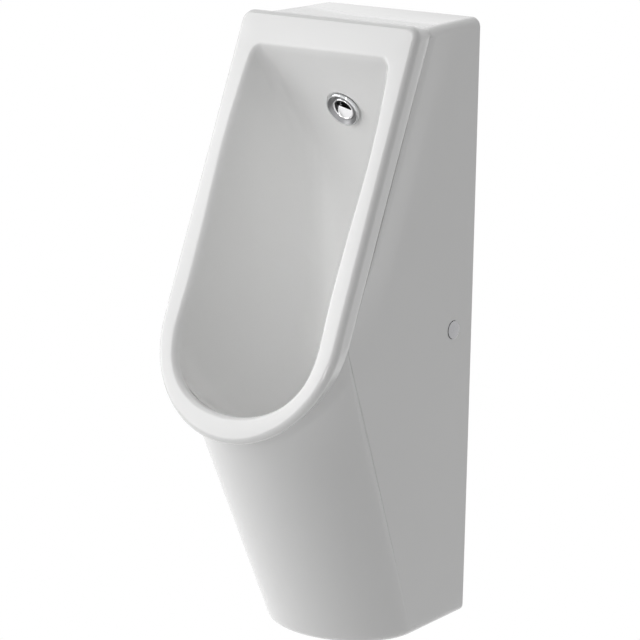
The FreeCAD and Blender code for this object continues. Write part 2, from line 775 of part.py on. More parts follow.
def build_inlet():
    """The elbow from the sloping shank to the level socket at the wall, and the seal in the socket."""
    bore = d.shank_radius + d.push_gap
    outer = bore + d.elbow_wall
    seat = -d.wall_gap - d.inlet_seal_setback - d.inlet_seal_length
    body = new_body("inlet_elbow")
    spine = new_sketch(body, "YZ_Plane", "spine")
    points = [(seat, ZERO), (-d.bend_start_depth, ZERO), (-d.bend_end_depth, -d.bend_end_drop),
              (-d.elbow_end_depth, -d.elbow_end_drop)]
    places = [V(y.value, z.value, 0) for y, z in points]
    bend, start, end = edge_between(places[1], places[2], d.elbow_bend_radius)
    spine.addGeometry([Part.LineSegment(places[0], places[1]), bend, Part.LineSegment(places[2], places[3])])
    spine.addConstraint(Sketcher.Constraint("Coincident", 0, 2, 1, start))
    spine.addConstraint(Sketcher.Constraint("Coincident", 1, end, 2, 1))
    for edge, corner, (y, z) in ((0, 1, points[0]), (0, 2, points[1]), (2, 1, points[2]), (2, 2, points[3])):
        fix_coordinate(spine, edge, corner, "DistanceX", y, f"y{edge}{corner}")
        fix_coordinate(spine, edge, corner, "DistanceY", z, f"z{edge}{corner}")
    row = spine.addConstraint(Sketcher.Constraint("Radius", 1, mm.elbow_bend_radius))
    spine.renameConstraint(row, "bend")
    spine.setExpression("Constraints.bend", d.elbow_bend_radius.formula)
    section = new_sketch(body, "XZ_Plane", "section", -seat)
    circle(section, ZERO, ZERO, outer)
    circle(section, ZERO, ZERO, bore)
    pipe = body.newObject("PartDesign::AdditivePipe", "inlet_elbow_pipe")
    pipe.Profile = section
    pipe.Spine = (spine, [])
    socket = new_sketch(body, "YZ_Plane", "socket")
    low = -d.wall_gap - d.socket_length
    inside = outer - d.elbow_wall * HALF_SHARE
    rim = [(seat, outer), (-d.wall_gap, outer), (-d.wall_gap, d.socket_radius)]
    back = [(low + d.socket_chamfer, d.socket_radius), (low, d.socket_radius - d.socket_chamfer)]
    draw(socket, [(low, inside), (seat, inside), *rim, *back])
    collar = body.newObject("PartDesign::Revolution", "inlet_elbow_socket")
    collar.Profile = socket
    collar.ReferenceAxis = (socket, ["H_Axis"])
    collar.Angle = FULL_TURN
    put(body, "up", ZERO, ZERO, d.inlet_height)
    seal = ring(d.inlet_seal_bore_radius, outer - d.running_gap, seat, seat + d.inlet_seal_length)
    put(turned("inlet_seal", seal), "back", ZERO, ZERO, d.inlet_height)


def put_on_waste(body):
    put(body, "up", ZERO, -d.waste_depth, d.bowl_floor_height)


def build_waste():
    under = -d.waste_recess_depth
    flange_low = under + d.waste_gasket_thickness
    flange_high = flange_low + d.waste_flange_thickness
    gasket = ring(d.waste_hole_radius + d.sliding_gap, d.waste_gasket_radius, under, flange_low)
    put_on_waste(turned("waste_gasket", gasket))
    seat = flange_high - d.strainer_seat_depth
    seat_radius = d.strainer_radius + d.push_gap
    flange = [
        (d.waste_tail_bore_radius, -d.waste_tail_length),
        (d.waste_tail_radius, -d.waste_tail_length),
        (d.waste_tail_radius, flange_low),
        (d.waste_flange_radius, flange_low),
        (d.waste_flange_radius, flange_high),
        (seat_radius, flange_high),
        (seat_radius, seat),
        (d.waste_tail_bore_radius, seat),
    ]
    put_on_waste(turned("waste_flange", flange))
    washer_low = -d.bowl_wall - d.waste_washer_thickness
    washer = ring(d.waste_tail_radius + d.sliding_gap, d.waste_washer_radius, washer_low, -d.bowl_wall)
    put_on_waste(turned("waste_washer", washer))
    nut_low = washer_low - d.waste_nut_thickness
    bore = d.waste_tail_radius + d.running_gap
    put_on_waste(hex_nut("waste_nut", d.waste_nut_flats, d.waste_nut_thickness, bore, nut_low))
    build_strainer(seat)


def build_strainer(seat):
    top = seat + d.strainer_thickness
    collar = d.waste_tail_bore_radius - d.push_gap
    profile = [
        (ZERO, seat),
        (collar - d.strainer_collar_wall, seat),
        (collar - d.strainer_collar_wall, seat - d.strainer_collar_length),
        (collar, seat - d.strainer_collar_length),
        (collar, seat),
        (d.strainer_radius, seat),
        (d.strainer_radius, top),
        (ZERO, top),
    ]
    body = turned("strainer", profile)
    rings = zip(STRAINER_RING_COUNTS, (ZERO, d.strainer_inner_ring_radius, d.strainer_outer_ring_radius))
    for index, (count, radius) in enumerate(rings):
        hole = new_sketch(body, "XY_Plane", f"hole_{index}", top)
        circle(hole, radius, ZERO, d.strainer_hole_radius)
        cut = pocket(body, hole, d.overrun, f"hole_cut_{index}")
        if count > 1:
            polar(body, [cut], count, f"hole_ring_{index}")
    put_on_waste(body)


def build_trap():
    nut_top = -d.trap_nut_drop
    nut_low = nut_top - d.trap_nut_length
    roof = nut_top - d.trap_nut_roof
    tail = d.waste_tail_radius
    thread = d.trap_collar_radius + d.push_gap
    nut = [
        (tail + d.push_gap, nut_top),
        (tail + d.push_gap, roof),
        (thread, roof),
        (thread, nut_low),
        (d.trap_nut_radius, nut_low),
        (d.trap_nut_radius, nut_top),
    ]
    put_on_waste(turned("trap_union_nut", nut))
    collar_top = roof - d.trap_seal_thickness
    seal = ring(tail + d.running_gap, d.trap_collar_radius, collar_top, roof)
    put_on_waste(turned("trap_seal", seal))
    build_trap_head(collar_top)


def build_trap_head(collar_top):
    """The trap's head: inlet collar, dip tube, side branch and the threaded spigot for the cup."""
    cover_top = collar_top - d.trap_collar_length
    cover_low = cover_top - d.trap_cover_thickness
    head_low = cover_top - d.trap_head_length
    spigot_low = head_low - d.trap_spigot_length
    inside = d.trap_head_radius - d.trap_wall
    spigot_bore = d.trap_spigot_radius - d.trap_spigot_wall
    collar_bore = d.waste_tail_radius + d.push_gap
    profile = [
        (d.dip_bore_radius, cover_top - d.dip_length),
        (d.dip_radius, cover_top - d.dip_length),
        (d.dip_radius, spigot_low),
        (d.trap_spigot_radius, spigot_low),
        (d.trap_spigot_radius, head_low),
        (d.trap_head_radius, head_low),
        (d.trap_head_radius, cover_top),
        (d.trap_collar_radius, cover_top),
        (d.trap_collar_radius, collar_top),
        (collar_bore, collar_top),
        (collar_bore, cover_top),
        (d.dip_bore_radius, cover_top),
    ]
    body = turned("trap_head", profile)
    branch = new_sketch(body, "XZ_Plane", "branch", -d.dip_radius)
    circle(branch, ZERO, -d.outlet_drop, d.branch_radius)
    reach = d.waste_depth - d.branch_end_depth - d.dip_radius
    pad(body, branch, reach, "branch_tube", reverse=True)
    space = new_sketch(body, "XZ_Plane", "water_space")
    below = spigot_low - d.overrun
    spigot = [(d.dip_radius, below), (spigot_bore, below), (spigot_bore, head_low)]
    draw(space, spigot + [(inside, head_low), (inside, cover_low), (d.dip_radius, cover_low)])
    hollow = body.newObject("PartDesign::Groove", "trap_head_water_space_cut")
    hollow.Profile = space
    hollow.ReferenceAxis = (space, ["V_Axis"])
    hollow.Angle = FULL_TURN
    bore = new_sketch(body, "XZ_Plane", "branch_bore", -d.dip_radius - d.trap_wall)
    circle(bore, ZERO, -d.outlet_drop, d.outlet_pipe_radius + d.push_gap)
    pocket(body, bore, reach, "branch_bore_cut")
    put_on_waste(body)
    build_cup(head_low)


def build_cup(head_low):
    seal_low = head_low - d.cup_seal_thickness
    bore = d.trap_spigot_radius + d.push_gap
    put_on_waste(turned("trap_cup_seal", ring(bore, d.cup_radius - d.push_gap, seal_low, head_low)))
    low = seal_low - d.cup_length
    chamfer = d.cup_bottom_chamfer
    profile = [
        (ZERO, low),
        (d.cup_radius - chamfer, low),
        (d.cup_radius, low + chamfer),
        (d.cup_radius, seal_low),
        (bore, seal_low),
        (bore, low + d.cup_wall + chamfer),
        (bore - chamfer, low + d.cup_wall),
        (ZERO, low + d.cup_wall),
    ]
    body = turned("trap_cup", profile)
    rib = new_sketch(body, "XY_Plane", "rib", low + chamfer)
    wide = d.cup_rib_half_width
    narrow = wide * HALF_SHARE
    inner = d.cup_radius - d.cup_wall * HALF_SHARE
    outer = d.cup_radius + d.cup_rib_depth
    draw(rib, [(inner, -wide), (outer, -narrow), (outer, narrow), (inner, wide)])
    first = pad(body, rib, d.cup_rib_length, "first_rib")
    polar(body, [first], CUP_RIB_COUNT, "ribs")
    put_on_waste(body)


def build_outlet():
    level = d.bowl_floor_height - d.outlet_drop
    pipe = d.outlet_pipe_radius
    branch_end = -d.branch_end_depth
    seal_end = branch_end + d.outlet_seal_thickness
    seal = ring(pipe + d.running_gap, d.branch_radius, branch_end, seal_end)
    put(turned("outlet_seal", seal), "back", ZERO, ZERO, level)
    nut_end = seal_end + d.outlet_nut_roof
    nut_start = nut_end - d.outlet_nut_length
    thread = d.branch_radius + d.push_gap
    nut = [
        (thread, nut_start),
        (d.outlet_nut_radius, nut_start),
        (d.outlet_nut_radius, nut_end),
        (pipe + d.push_gap, nut_end),
        (pipe + d.push_gap, seal_end),
        (thread, seal_end),
    ]
    put(turned("outlet_nut", nut), "back", ZERO, ZERO, level)
    bore = pipe - d.outlet_pipe_wall
    end = d.outlet_pipe_reach
    bead = pipe + d.outlet_bead_height
    tube = [
        (bore, -d.outlet_pipe_inside),
        (pipe, -d.outlet_pipe_inside),
        (pipe, -d.outlet_bead_depth - d.outlet_bead_width),
        (bead, -d.outlet_bead_depth - d.outlet_bead_width),
        (bead, -d.outlet_bead_depth),
        (pipe, -d.outlet_bead_depth),
        (pipe, end - d.outlet_pipe_chamfer),
        (pipe - d.outlet_pipe_chamfer, end),
        (bore, end),
    ]
    put(turned("outlet_pipe", tube), "back", ZERO, ZERO, level)


def build_bracket(side, sign):
    """A bent steel angle: one leg on the wall with a slotted hole, one leg along the china's inside."""
    body = new_body(f"bracket_{side}")
    face = d.bracket_face
    thick = d.bracket_thickness
    bend = d.bracket_bend_radius
    inner = face - thick
    corners = [
        (face - d.bracket_wall_leg, ZERO),
        (face - bend, ZERO, -bend),
        (face, -bend),
        (face, -d.bracket_side_leg),
        (inner, -d.bracket_side_leg),
        (inner, -bend, bend - thick),
        (face - bend, -thick),
        (face - d.bracket_wall_leg, -thick),
    ]
    angle = new_sketch(body, "XY_Plane", "angle")
    draw(angle, [(corner[0] * sign, corner[1], *(bow * sign for bow in corner[2:])) for corner in corners])
    pad(body, angle, d.bracket_height, "height", midplane=True)
    slot = new_sketch(body, "XZ_Plane", "slot")
    radius = d.bracket_slot_radius
    half = d.bracket_slot_length * HALF_SHARE - radius
    near = (d.bracket_slot_centre - half) * sign
    far = (d.bracket_slot_centre + half) * sign
    draw(slot, [(near, radius), (near, -radius), (far, -radius), (far, radius)])
    pocket(body, slot, d.overrun, "slot_cut", midplane=True)
    for name, x in (("near", near), ("far", far)):
        end = new_sketch(body, "XZ_Plane", f"slot_{name}")
        circle(end, x, ZERO, radius)
        pocket(body, end, d.overrun, f"slot_{name}_cut", midplane=True)
    hole = new_sketch(body, "YZ_Plane", "bush_hole")
    circle(hole, -d.fixing_depth, ZERO, d.bush_radius + d.sliding_gap)
    pocket(body, hole, (face + d.overrun) * TWICE_SHARE, "bush_cut", midplane=True)
    put(body, "up", ZERO, ZERO, d.fixing_height)


def build_side_fixing(side, sign):
    screw = d.screw_radius
    bush_bore = screw + d.running_gap
    bush = [
        (bush_bore, -d.bush_length),
        (d.bush_radius, -d.bush_length),
        (d.bush_radius, ZERO),
        (d.bush_flange_radius, ZERO),
        (d.bush_flange_radius, d.bush_flange_thickness),
        (bush_bore, d.bush_flange_thickness),
    ]
    body = turned(f"bracket_bush_{side}", bush)
    put(body, side, d.bracket_face * sign, -d.fixing_depth, d.fixing_height)
    recess = d.screw_head_radius + d.push_gap
    collar = [
        (screw + d.sliding_gap, -d.collar_sleeve_length),
        (d.collar_sleeve_radius, -d.collar_sleeve_length),
        (d.collar_sleeve_radius, ZERO),
        (d.collar_flange_radius, ZERO),
        (d.collar_flange_radius, d.collar_flange_thickness),
        (recess, d.collar_flange_thickness),
        (recess, -d.collar_recess_depth),
        (screw + d.sliding_gap, -d.collar_recess_depth),
    ]
    head_low = -d.collar_recess_depth
    head_top = head_low + d.screw_head_height
    bolt = [
        (ZERO, head_low - d.screw_length),
        (screw * SCREW_TIP_SHARE, head_low - d.screw_length),
        (screw, head_low - d.screw_length + screw * SCREW_TIP_SHARE),
        (screw, head_low),
        (d.screw_head_radius, head_low),
        (d.screw_head_radius, head_top - d.screw_head_height * HEAD_DOME_SHARE),
        (d.screw_head_radius * HEAD_TOP_SHARE, head_top),
        (ZERO, head_top),
    ]
    inside = d.collar_flange_radius + d.sliding_gap
    outside = inside + d.cap_wall
    shoulder = d.cap_lift + d.cap_height - d.cap_crown_rise
    crown = crown_radius(outside, d.cap_crown_rise)
    cap = [
        (inside, d.cap_lift),
        (outside, d.cap_lift),
        (outside, shoulder, crown),
        (ZERO, d.cap_lift + d.cap_height),
        (ZERO, shoulder + d.cap_crown_rise - d.cap_roof),
        (inside, shoulder + d.cap_crown_rise - d.cap_roof),
    ]
    for name, profile in (("screw_collar", collar), ("side_screw", bolt), ("cover_cap", cap)):
        body = turned(f"{name}_{side}", profile)
        put(body, side, d.fixing_seat * sign, -d.fixing_depth, d.fixing_height)


def crown_radius(half_chord, rise):
    """Radius of a dome from its half chord and its rise."""
    value = (half_chord.value ** 2 + rise.value ** 2) / (rise.value * TWICE_SHARE)
    chord, height = half_chord.formula, rise.formula
    return Size(value, f"(({chord}) ^ 2 + ({height}) ^ 2) / ({TWICE_SHARE} * {height})")


def write_parts():
    doc.recompute()
    for thing in doc.Objects:
        if "Invalid" in thing.State or "Error" in thing.State:
            raise RuntimeError(f"{thing.Label} failed: {thing.State}")
    for thing in parts:
        if thing.Shape.isNull() or not thing.Shape.isValid():
            raise RuntimeError(f"{thing.Label} has no valid shape")
    os.makedirs("parts", exist_ok=True)
    for thing in parts:
        thing.Shape.exportStep(f"parts/{thing.Label}.step")
        print(thing.Label, len(thing.Shape.Solids), round(thing.Shape.Volume))


build_china()
build_nozzle()
build_inlet()
build_waste()
build_trap()
build_outlet()
for side_name, side_sign in SIDES.items():
    build_bracket(side_name, side_sign)
    build_side_fixing(side_name, side_sign)
write_parts()
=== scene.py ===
"""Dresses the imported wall-hung urinal: glazed china, chrome spreader, waste, bottle trap and side fixings."""

import json
import math

import bpy
from mathutils import Matrix, Vector
from mathutils.bvhtree import BVHTree


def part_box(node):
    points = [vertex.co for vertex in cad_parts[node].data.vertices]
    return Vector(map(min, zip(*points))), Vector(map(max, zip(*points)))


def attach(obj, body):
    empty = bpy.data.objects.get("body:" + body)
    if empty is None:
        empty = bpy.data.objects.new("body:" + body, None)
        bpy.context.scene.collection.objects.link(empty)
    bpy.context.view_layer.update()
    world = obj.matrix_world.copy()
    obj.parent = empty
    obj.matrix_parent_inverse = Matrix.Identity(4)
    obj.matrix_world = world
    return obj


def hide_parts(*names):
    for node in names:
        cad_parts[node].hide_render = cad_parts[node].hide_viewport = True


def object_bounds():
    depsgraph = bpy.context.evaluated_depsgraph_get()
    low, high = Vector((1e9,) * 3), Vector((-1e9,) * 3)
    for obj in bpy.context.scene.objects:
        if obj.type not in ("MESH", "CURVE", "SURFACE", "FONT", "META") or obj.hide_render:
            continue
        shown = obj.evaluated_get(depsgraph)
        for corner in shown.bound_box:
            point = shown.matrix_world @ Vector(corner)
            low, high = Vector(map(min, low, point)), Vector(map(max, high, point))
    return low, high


bl_info = {
    "name": "Wall-hung urinal",
    "version": (1, 0, 0),
    "blender": (4, 5, 0),
    "location": "View3D > Sidebar > Urinal",
    "description": "Models and finishes a compact wall-hung urinal around its packed solids",
    "category": "Object",
}

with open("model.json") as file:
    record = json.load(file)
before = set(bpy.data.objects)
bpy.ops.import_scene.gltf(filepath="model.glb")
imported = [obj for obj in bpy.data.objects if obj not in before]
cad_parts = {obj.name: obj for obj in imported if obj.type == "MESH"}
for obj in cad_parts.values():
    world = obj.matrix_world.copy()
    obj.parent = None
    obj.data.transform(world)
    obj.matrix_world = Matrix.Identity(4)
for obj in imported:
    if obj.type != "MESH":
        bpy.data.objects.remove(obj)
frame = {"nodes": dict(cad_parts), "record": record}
CAD_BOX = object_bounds()
BODIES = {node: body for body, nodes in frame["record"]["behaviour"]["bodies"].items() for node in nodes}
SLOTS = {row["node"]: row["material_slot"] for row in frame["record"]["subparts"]}
SIDES = (("left", -1), ("right", 1))
MM = 0.001
QUARTER_TURN = math.radians(90)

# Welding distance, the angles that count as smooth, as an edge and as flat, and a rounded edge's steps
MERGE = 0.004 * MM
SMOOTH_ANGLE = math.radians(32)
EDGE_ANGLE = math.radians(35)
FLAT_ANGLE = math.radians(0.5)
EDGE_STEPS = 2

# The spreader's slope in the bowl's back wall, and half its gasket's thickness in millimetres
NOZZLE_TILT = math.radians(28)
GASKET_HALF = 0.5

# A thread's wedge as shares of its pitch, and its steps in one turn
THREAD_CREST, THREAD_FOOT, THREAD_STEPS = 0.4, 0.8, 36

# A grip rib in millimetres: its root and top about the nut's radius, half its width, and its rounding
RIB_ROOT, RIB_TOP, RIB_HALF, RIB_EDGE = 0.6, 0.7, 1.1, 0.45

# A nut's chamfer: outside the flats, past the corners and past the ends in millimetres, and its slope
CHAMFER_FLAT, CHAMFER_CORNER, CHAMFER_END, CHAMFER_SLOPE = 0.3, 0.6, 0.01, math.radians(30)

# Parts of the noise over which the roughness and the colour change
WEAR_RANGE, TINT_RANGE = (0.3, 0.7), (0.35, 0.65)


class UrinalStage(bpy.types.PropertyGroup):
    """Camera, floor and light."""

    azimuth: bpy.props.FloatProperty(
        name="Azimuth", description="Camera's turn round the object",
        default=math.radians(38.13), subtype="ANGLE",
    )
    elevation: bpy.props.FloatProperty(
        name="Elevation", description="Camera's height angle", default=math.radians(13.98), subtype="ANGLE",
    )
    roll: bpy.props.FloatProperty(
        name="Roll", description="Camera's tilt in the picture", default=math.radians(-0.3), subtype="ANGLE",
    )
    camera_place: bpy.props.FloatVectorProperty(
        name="Camera place", description="Where the camera stands",
        default=(1.84041, -2.48205, 0.7586), subtype="TRANSLATION", unit="LENGTH",
    )
    lens: bpy.props.FloatProperty(
        name="Lens", description="Focal length in millimetres", default=167.45, unit="CAMERA",
    )
    floor_drop: bpy.props.FloatProperty(
        name="Floor drop", description="Floor below the china's foot", default=0.45, unit="LENGTH",
    )
    floor_colour: bpy.props.FloatVectorProperty(
        name="Floor colour", description="Plain pale floor", default=(0.86, 0.86, 0.86), subtype="COLOR",
    )
    world_strength: bpy.props.FloatProperty(
        name="Room light", description="Even light from all round", default=0.283,
    )
    key_power: bpy.props.FloatProperty(
        name="Key light", description="Soft light from the front left", default=39.0, unit="POWER",
    )
    top_power: bpy.props.FloatProperty(
        name="Top light", description="Soft light from above", default=5.5, unit="POWER",
    )
    bowl_power: bpy.props.FloatProperty(
        name="Bowl light", description="Narrow light into the bowl", default=0.043, unit="POWER",
    )


class UrinalLook(bpy.types.PropertyGroup):
    """Colours of the finishes."""

    glaze_colour: bpy.props.FloatVectorProperty(
        name="Glaze", description="White glaze of the china", default=(0.92, 0.92, 0.915), subtype="COLOR",
    )
    biscuit_colour: bpy.props.FloatVectorProperty(
        name="Biscuit", description="Unglazed china", default=(0.74, 0.71, 0.66), subtype="COLOR",
    )
    chrome_colour: bpy.props.FloatVectorProperty(
        name="Chrome", description="Polished chrome plate", default=(0.78, 0.79, 0.80), subtype="COLOR",
    )
    # The caps' plate colour is darkened, a painted grey reflection
    cap_painted_reflection_colour: bpy.props.FloatVectorProperty(
        name="Cap", description="Satin chrome of the cover caps", default=(0.40, 0.40, 0.41), subtype="COLOR",
    )
    plastic_colour: bpy.props.FloatVectorProperty(
        name="Trap plastic", description="Moulded trap and elbow",
        default=(0.80, 0.80, 0.78), subtype="COLOR",
    )


def rest_selection():
    """Leave edit mode and deselect everything."""
    if bpy.context.object and bpy.context.object.mode != "OBJECT":
        bpy.ops.object.mode_set(mode="OBJECT")
    bpy.ops.object.select_all(action="DESELECT")


def make_active(piece):
    """Select one piece alone and make it the active one."""
    rest_selection()
    piece.select_set(True)
    bpy.context.view_layer.objects.active = piece


def settle(piece, body, material, node):
    """Put a finished piece at the origin, shade it, give it its finish when one is given, hang it on its body
    and hide the node that it stands for.
    """
    make_active(piece)
    bpy.ops.object.transform_apply(location=True, rotation=True, scale=True)
    bpy.ops.object.shade_smooth_by_angle(angle=SMOOTH_ANGLE)
    if material is not None:
        piece.data.materials.clear()
        piece.data.materials.append(material)
    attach(piece, body)
    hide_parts(node)


def edit(piece):
    """Open a piece in edit mode with everything selected."""
    make_active(piece)
    bpy.ops.object.mode_set(mode="EDIT")
    bpy.context.tool_settings.mesh_select_mode = (True, False, False)
    bpy.ops.mesh.select_all(action="SELECT")


def close_up():
    """Weld the open piece, turn its faces outward and leave edit mode."""
    bpy.ops.mesh.select_all(action="SELECT")
    bpy.ops.mesh.remove_doubles(threshold=MERGE)
    bpy.ops.mesh.normals_make_consistent(inside=False)
    bpy.ops.object.mode_set(mode="OBJECT")


def merged_copy(node, name):
    """Copy a node's mesh into a piece of its own and weld its loose triangles."""
    piece = bpy.data.objects.new(name, frame["nodes"][node].data.copy())
    bpy.context.scene.collection.objects.link(piece)
    make_active(piece)
    if piece.data.has_custom_normals:
        bpy.ops.mesh.customdata_custom_splitnormals_clear()
    edit(piece)
    bpy.ops.mesh.remove_doubles(threshold=MERGE)
    bpy.ops.object.mode_set(mode="OBJECT")
    return piece


def drawn(name, points):
    """Start a piece as an outline drawn point by point; it stays in edit mode."""
    rest_selection()
    bpy.ops.mesh.primitive_plane_add(size=MM)
    piece = bpy.context.object
    piece.name = piece.data.name = name
    edit(piece)
    bpy.ops.mesh.merge(type="CENTER")
    bpy.ops.transform.translate(value=points[0])
    for start, end in zip(points, points[1:]):
        bpy.ops.mesh.extrude_vertices_move(TRANSFORM_OT_translate={"value": end - start})
    bpy.ops.mesh.select_all(action="SELECT")
    bpy.ops.mesh.remove_doubles(threshold=MERGE)
    return piece


def turned(name, profile, steps=72):
    """A piece turned round the Z axis from a profile of radius and height in millimetres."""
    piece = drawn(name, [Vector((radius, 0, level)) * MM for radius, level in profile])
    bpy.ops.mesh.spin(steps=steps, angle=math.tau, center=(0, 0, 0), axis=(0, 0, 1))
    close_up()
    return piece


def arc(radius, level, bend, start, end, steps=5):
    """Points of a rounded stretch of a profile about a centre; start and end are in degrees."""
    turns = [math.radians(start + (end - start) * i / steps) for i in range(steps + 1)]
    return [(radius + bend * math.cos(turn), level + bend * math.sin(turn)) for turn in turns]


def shaped(piece, kind, **settings):
    """Give a piece a modifier and apply it."""
    make_active(piece)
    modifier = piece.modifiers.new(kind.lower(), kind)
    for title, value in settings.items():
        setattr(modifier, title, value)
    bpy.ops.object.modifier_apply(modifier=modifier.name)
    return piece


def rounded(piece, width):
    """Round the sharp edges of a piece; the width is in millimetres."""
    return shaped(
        piece, "BEVEL", width=width * MM, segments=EDGE_STEPS, limit_method="ANGLE", angle_limit=EDGE_ANGLE
    )


def softened(node, name, width):
    """A copy of a node with its flats cleared of triangles and its edges rounded."""
    piece = merged_copy(node, name)
    edit(piece)
    bpy.ops.mesh.dissolve_limited(angle_limit=FLAT_ANGLE)
    close_up()
    return rounded(piece, width)


def joined(piece, *others):
    """Join other pieces into the first."""
    make_active(piece)
    for other in others:
        other.select_set(True)
    bpy.ops.object.join()
    return piece


def cut(piece, tool, operation="DIFFERENCE"):
    """Cut a piece with another and throw the cutter away."""
    shaped(piece, "BOOLEAN", object=tool, operation=operation, solver="EXACT")
    bpy.data.objects.remove(tool)
    return piece


def block(name, low, high):
    """A block between two corners in millimetres, to be shaped further."""
    rest_selection()
    low, high = Vector(low) * MM, Vector(high) * MM
    bpy.ops.mesh.primitive_cube_add(size=1, location=(low + high) / 2, scale=high - low)
    piece = bpy.context.object
    piece.name = piece.data.name = name
    bpy.ops.object.transform_apply(location=True, rotation=True, scale=True)
    return piece


def thread(name, crest, depth, pitch, low, turns):
    """A screw thread: a wedge wound up round the Z axis; sizes in millimetres."""
    root = crest - depth
    corners = [(root, 0), (crest, THREAD_CREST * pitch), (root, THREAD_FOOT * pitch), (root, 0)]
    piece = drawn(name, [Vector((radius, 0, low + level)) * MM for radius, level in corners])
    bpy.ops.object.mode_set(mode="OBJECT")
    shaped(
        piece, "SCREW", axis="Z", angle=math.tau, screw_offset=pitch * MM, iterations=turns,
        steps=THREAD_STEPS,
    )
    edit(piece)
    bpy.ops.mesh.fill_holes(sides=3)
    close_up()
    return piece


def ribs(name, radius, low, high, count):
    """Grip ribs round a nut: one rib, rounded and copied round the Z axis; sizes in millimetres."""
    bar = block(name, (radius - RIB_ROOT, -RIB_HALF, low), (radius + RIB_TOP, RIB_HALF, high))
    piece = rounded(bar, RIB_EDGE)
    edit(piece)
    bpy.ops.mesh.spin(
        steps=count - 1, dupli=True, angle=math.tau * (count - 1) / count, center=(0, 0, 0), axis=(0, 0, 1)
    )
    close_up()
    return piece


def chamfered_nut(node, name, place, low, high, flats):
    """A hexagon nut with its corners turned off; sizes in millimetres."""
    nut = merged_copy(node, name)
    inner, corner = flats / 2 + CHAMFER_FLAT, flats / math.sqrt(3) + CHAMFER_CORNER
    rise = (corner - inner) * math.tan(CHAMFER_SLOPE)
    bottom, top = low - CHAMFER_END, high + CHAMFER_END
    barrel = turned("nut_barrel", [
        (0, bottom), (inner, bottom), (corner, low + rise), (corner, high - rise), (inner, top), (0, top),
    ])
    barrel.matrix_world = place
    bpy.context.view_layer.update()
    return cut(nut, barrel, "INTERSECT")


def twin(piece, name):
    """A copy of a piece with a mesh of its own."""
    copy = piece.copy()
    copy.data = piece.data.copy()
    copy.name = copy.data.name = name
    bpy.context.scene.collection.objects.link(copy)
    return copy


def limited(share, least=0.0):
    """A share kept between its least value and one."""
    return min(1.0, max(least, share))


def middle(node):
    """The middle of a node's box."""
    low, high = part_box(node)
    return (low + high) / 2


def nozzle_place():
    """The spreader's frame: Z runs out of the china along the sloping axis, from the back of the gasket."""
    turn = Matrix.Rotation(QUARTER_TURN + NOZZLE_TILT, 4, "X")
    return Matrix.Translation(middle("nozzle_gasket")) @ turn @ Matrix.Translation((0, 0, -GASKET_HALF * MM))


def waste_place():
    """The waste's frame: Z runs up its axis, from the height of the wall fixing."""
    centre = middle("waste_flange")
    return Matrix.Translation((centre.x, centre.y, 0))


def side_place(sign, reach, node):
    """A side fixing's frame: Z runs outward along the screw, from a distance from the middle plane."""
    centre = middle(node)
    outward = Matrix.Rotation(sign * QUARTER_TURN, 4, "Y")
    return Matrix.Translation((sign * reach, centre.y, centre.z)) @ outward


def soften_nodes(rows, look):
    """Round the moulded and stamped nodes of a group and dress each in the finish of its slot."""
    for node, name, width in rows:
        settle(softened(node, name, width), BODIES[node], FINISHES[SLOTS[node]](look), node)


def new_group(name, inputs, outputs):
    """Start a shader node group with number inputs and outputs."""
    group = bpy.data.node_groups.new(name, "ShaderNodeTree")
    for title, default in inputs:
        socket = group.interface.new_socket(title, in_out="INPUT", socket_type="NodeSocketFloat")
        socket.default_value = default
    for title in outputs:
        group.interface.new_socket(title, in_out="OUTPUT", socket_type="NodeSocketFloat")
    entry = group.nodes.new("NodeGroupInput")
    result = group.nodes.new("NodeGroupOutput")
    return group, entry, result


def add_noise(tree, scale, detail=3.0):
    """A noise texture on Object coordinates, with its scale from a socket."""
    place = tree.nodes.new("ShaderNodeTexCoord")
    noise = tree.nodes.new("ShaderNodeTexNoise")
    noise.inputs["Detail"].default_value = detail
    tree.links.new(place.outputs["Object"], noise.inputs["Vector"])
    tree.links.new(scale, noise.inputs["Scale"])
    return noise.outputs["Fac"]


def add_range(tree, source, low, high, to_low, to_high):
    """Map a value from one range to another; each limit is a number or a socket."""
    node = tree.nodes.new("ShaderNodeMapRange")
    for title, value in (("From Min", low), ("From Max", high), ("To Min", to_low), ("To Max", to_high)):
        if isinstance(value, (int, float)):
            node.inputs[title].default_value = value
        else:
            tree.links.new(value, node.inputs[title])
    tree.links.new(source, node.inputs["Value"])
    return node.outputs["Result"]


def add_math(tree, operation, first, second):
    """A sum of two sockets, or another operation on them."""
    node = tree.nodes.new("ShaderNodeMath")
    node.operation = operation
    tree.links.new(first, node.inputs[0])
    tree.links.new(second, node.inputs[1])
    return node.outputs[0]


def surface_wear():
    """Group: a slow mottle, a roughness that varies with it, and a fine height for bump."""
    name = "surface_wear"
    if name in bpy.data.node_groups:
        return bpy.data.node_groups[name]
    group, entry, result = new_group(
        name,
        [("Mottle Scale", 12.0), ("Grain Scale", 600.0), ("Roughness", 0.3), ("Spread", 0.05)],
        ["Mottle", "Roughness", "Height"],
    )
    mottle = add_noise(group, entry.outputs["Mottle Scale"])
    grain = add_noise(group, entry.outputs["Grain Scale"], detail=2.0)
    low, high = (
        add_math(group, operation, entry.outputs["Roughness"], entry.outputs["Spread"])
        for operation in ("SUBTRACT", "ADD")
    )
    group.links.new(mottle, result.inputs["Mottle"])
    group.links.new(add_range(group, mottle, *WEAR_RANGE, low, high), result.inputs["Roughness"])
    group.links.new(grain, result.inputs["Height"])
    return group


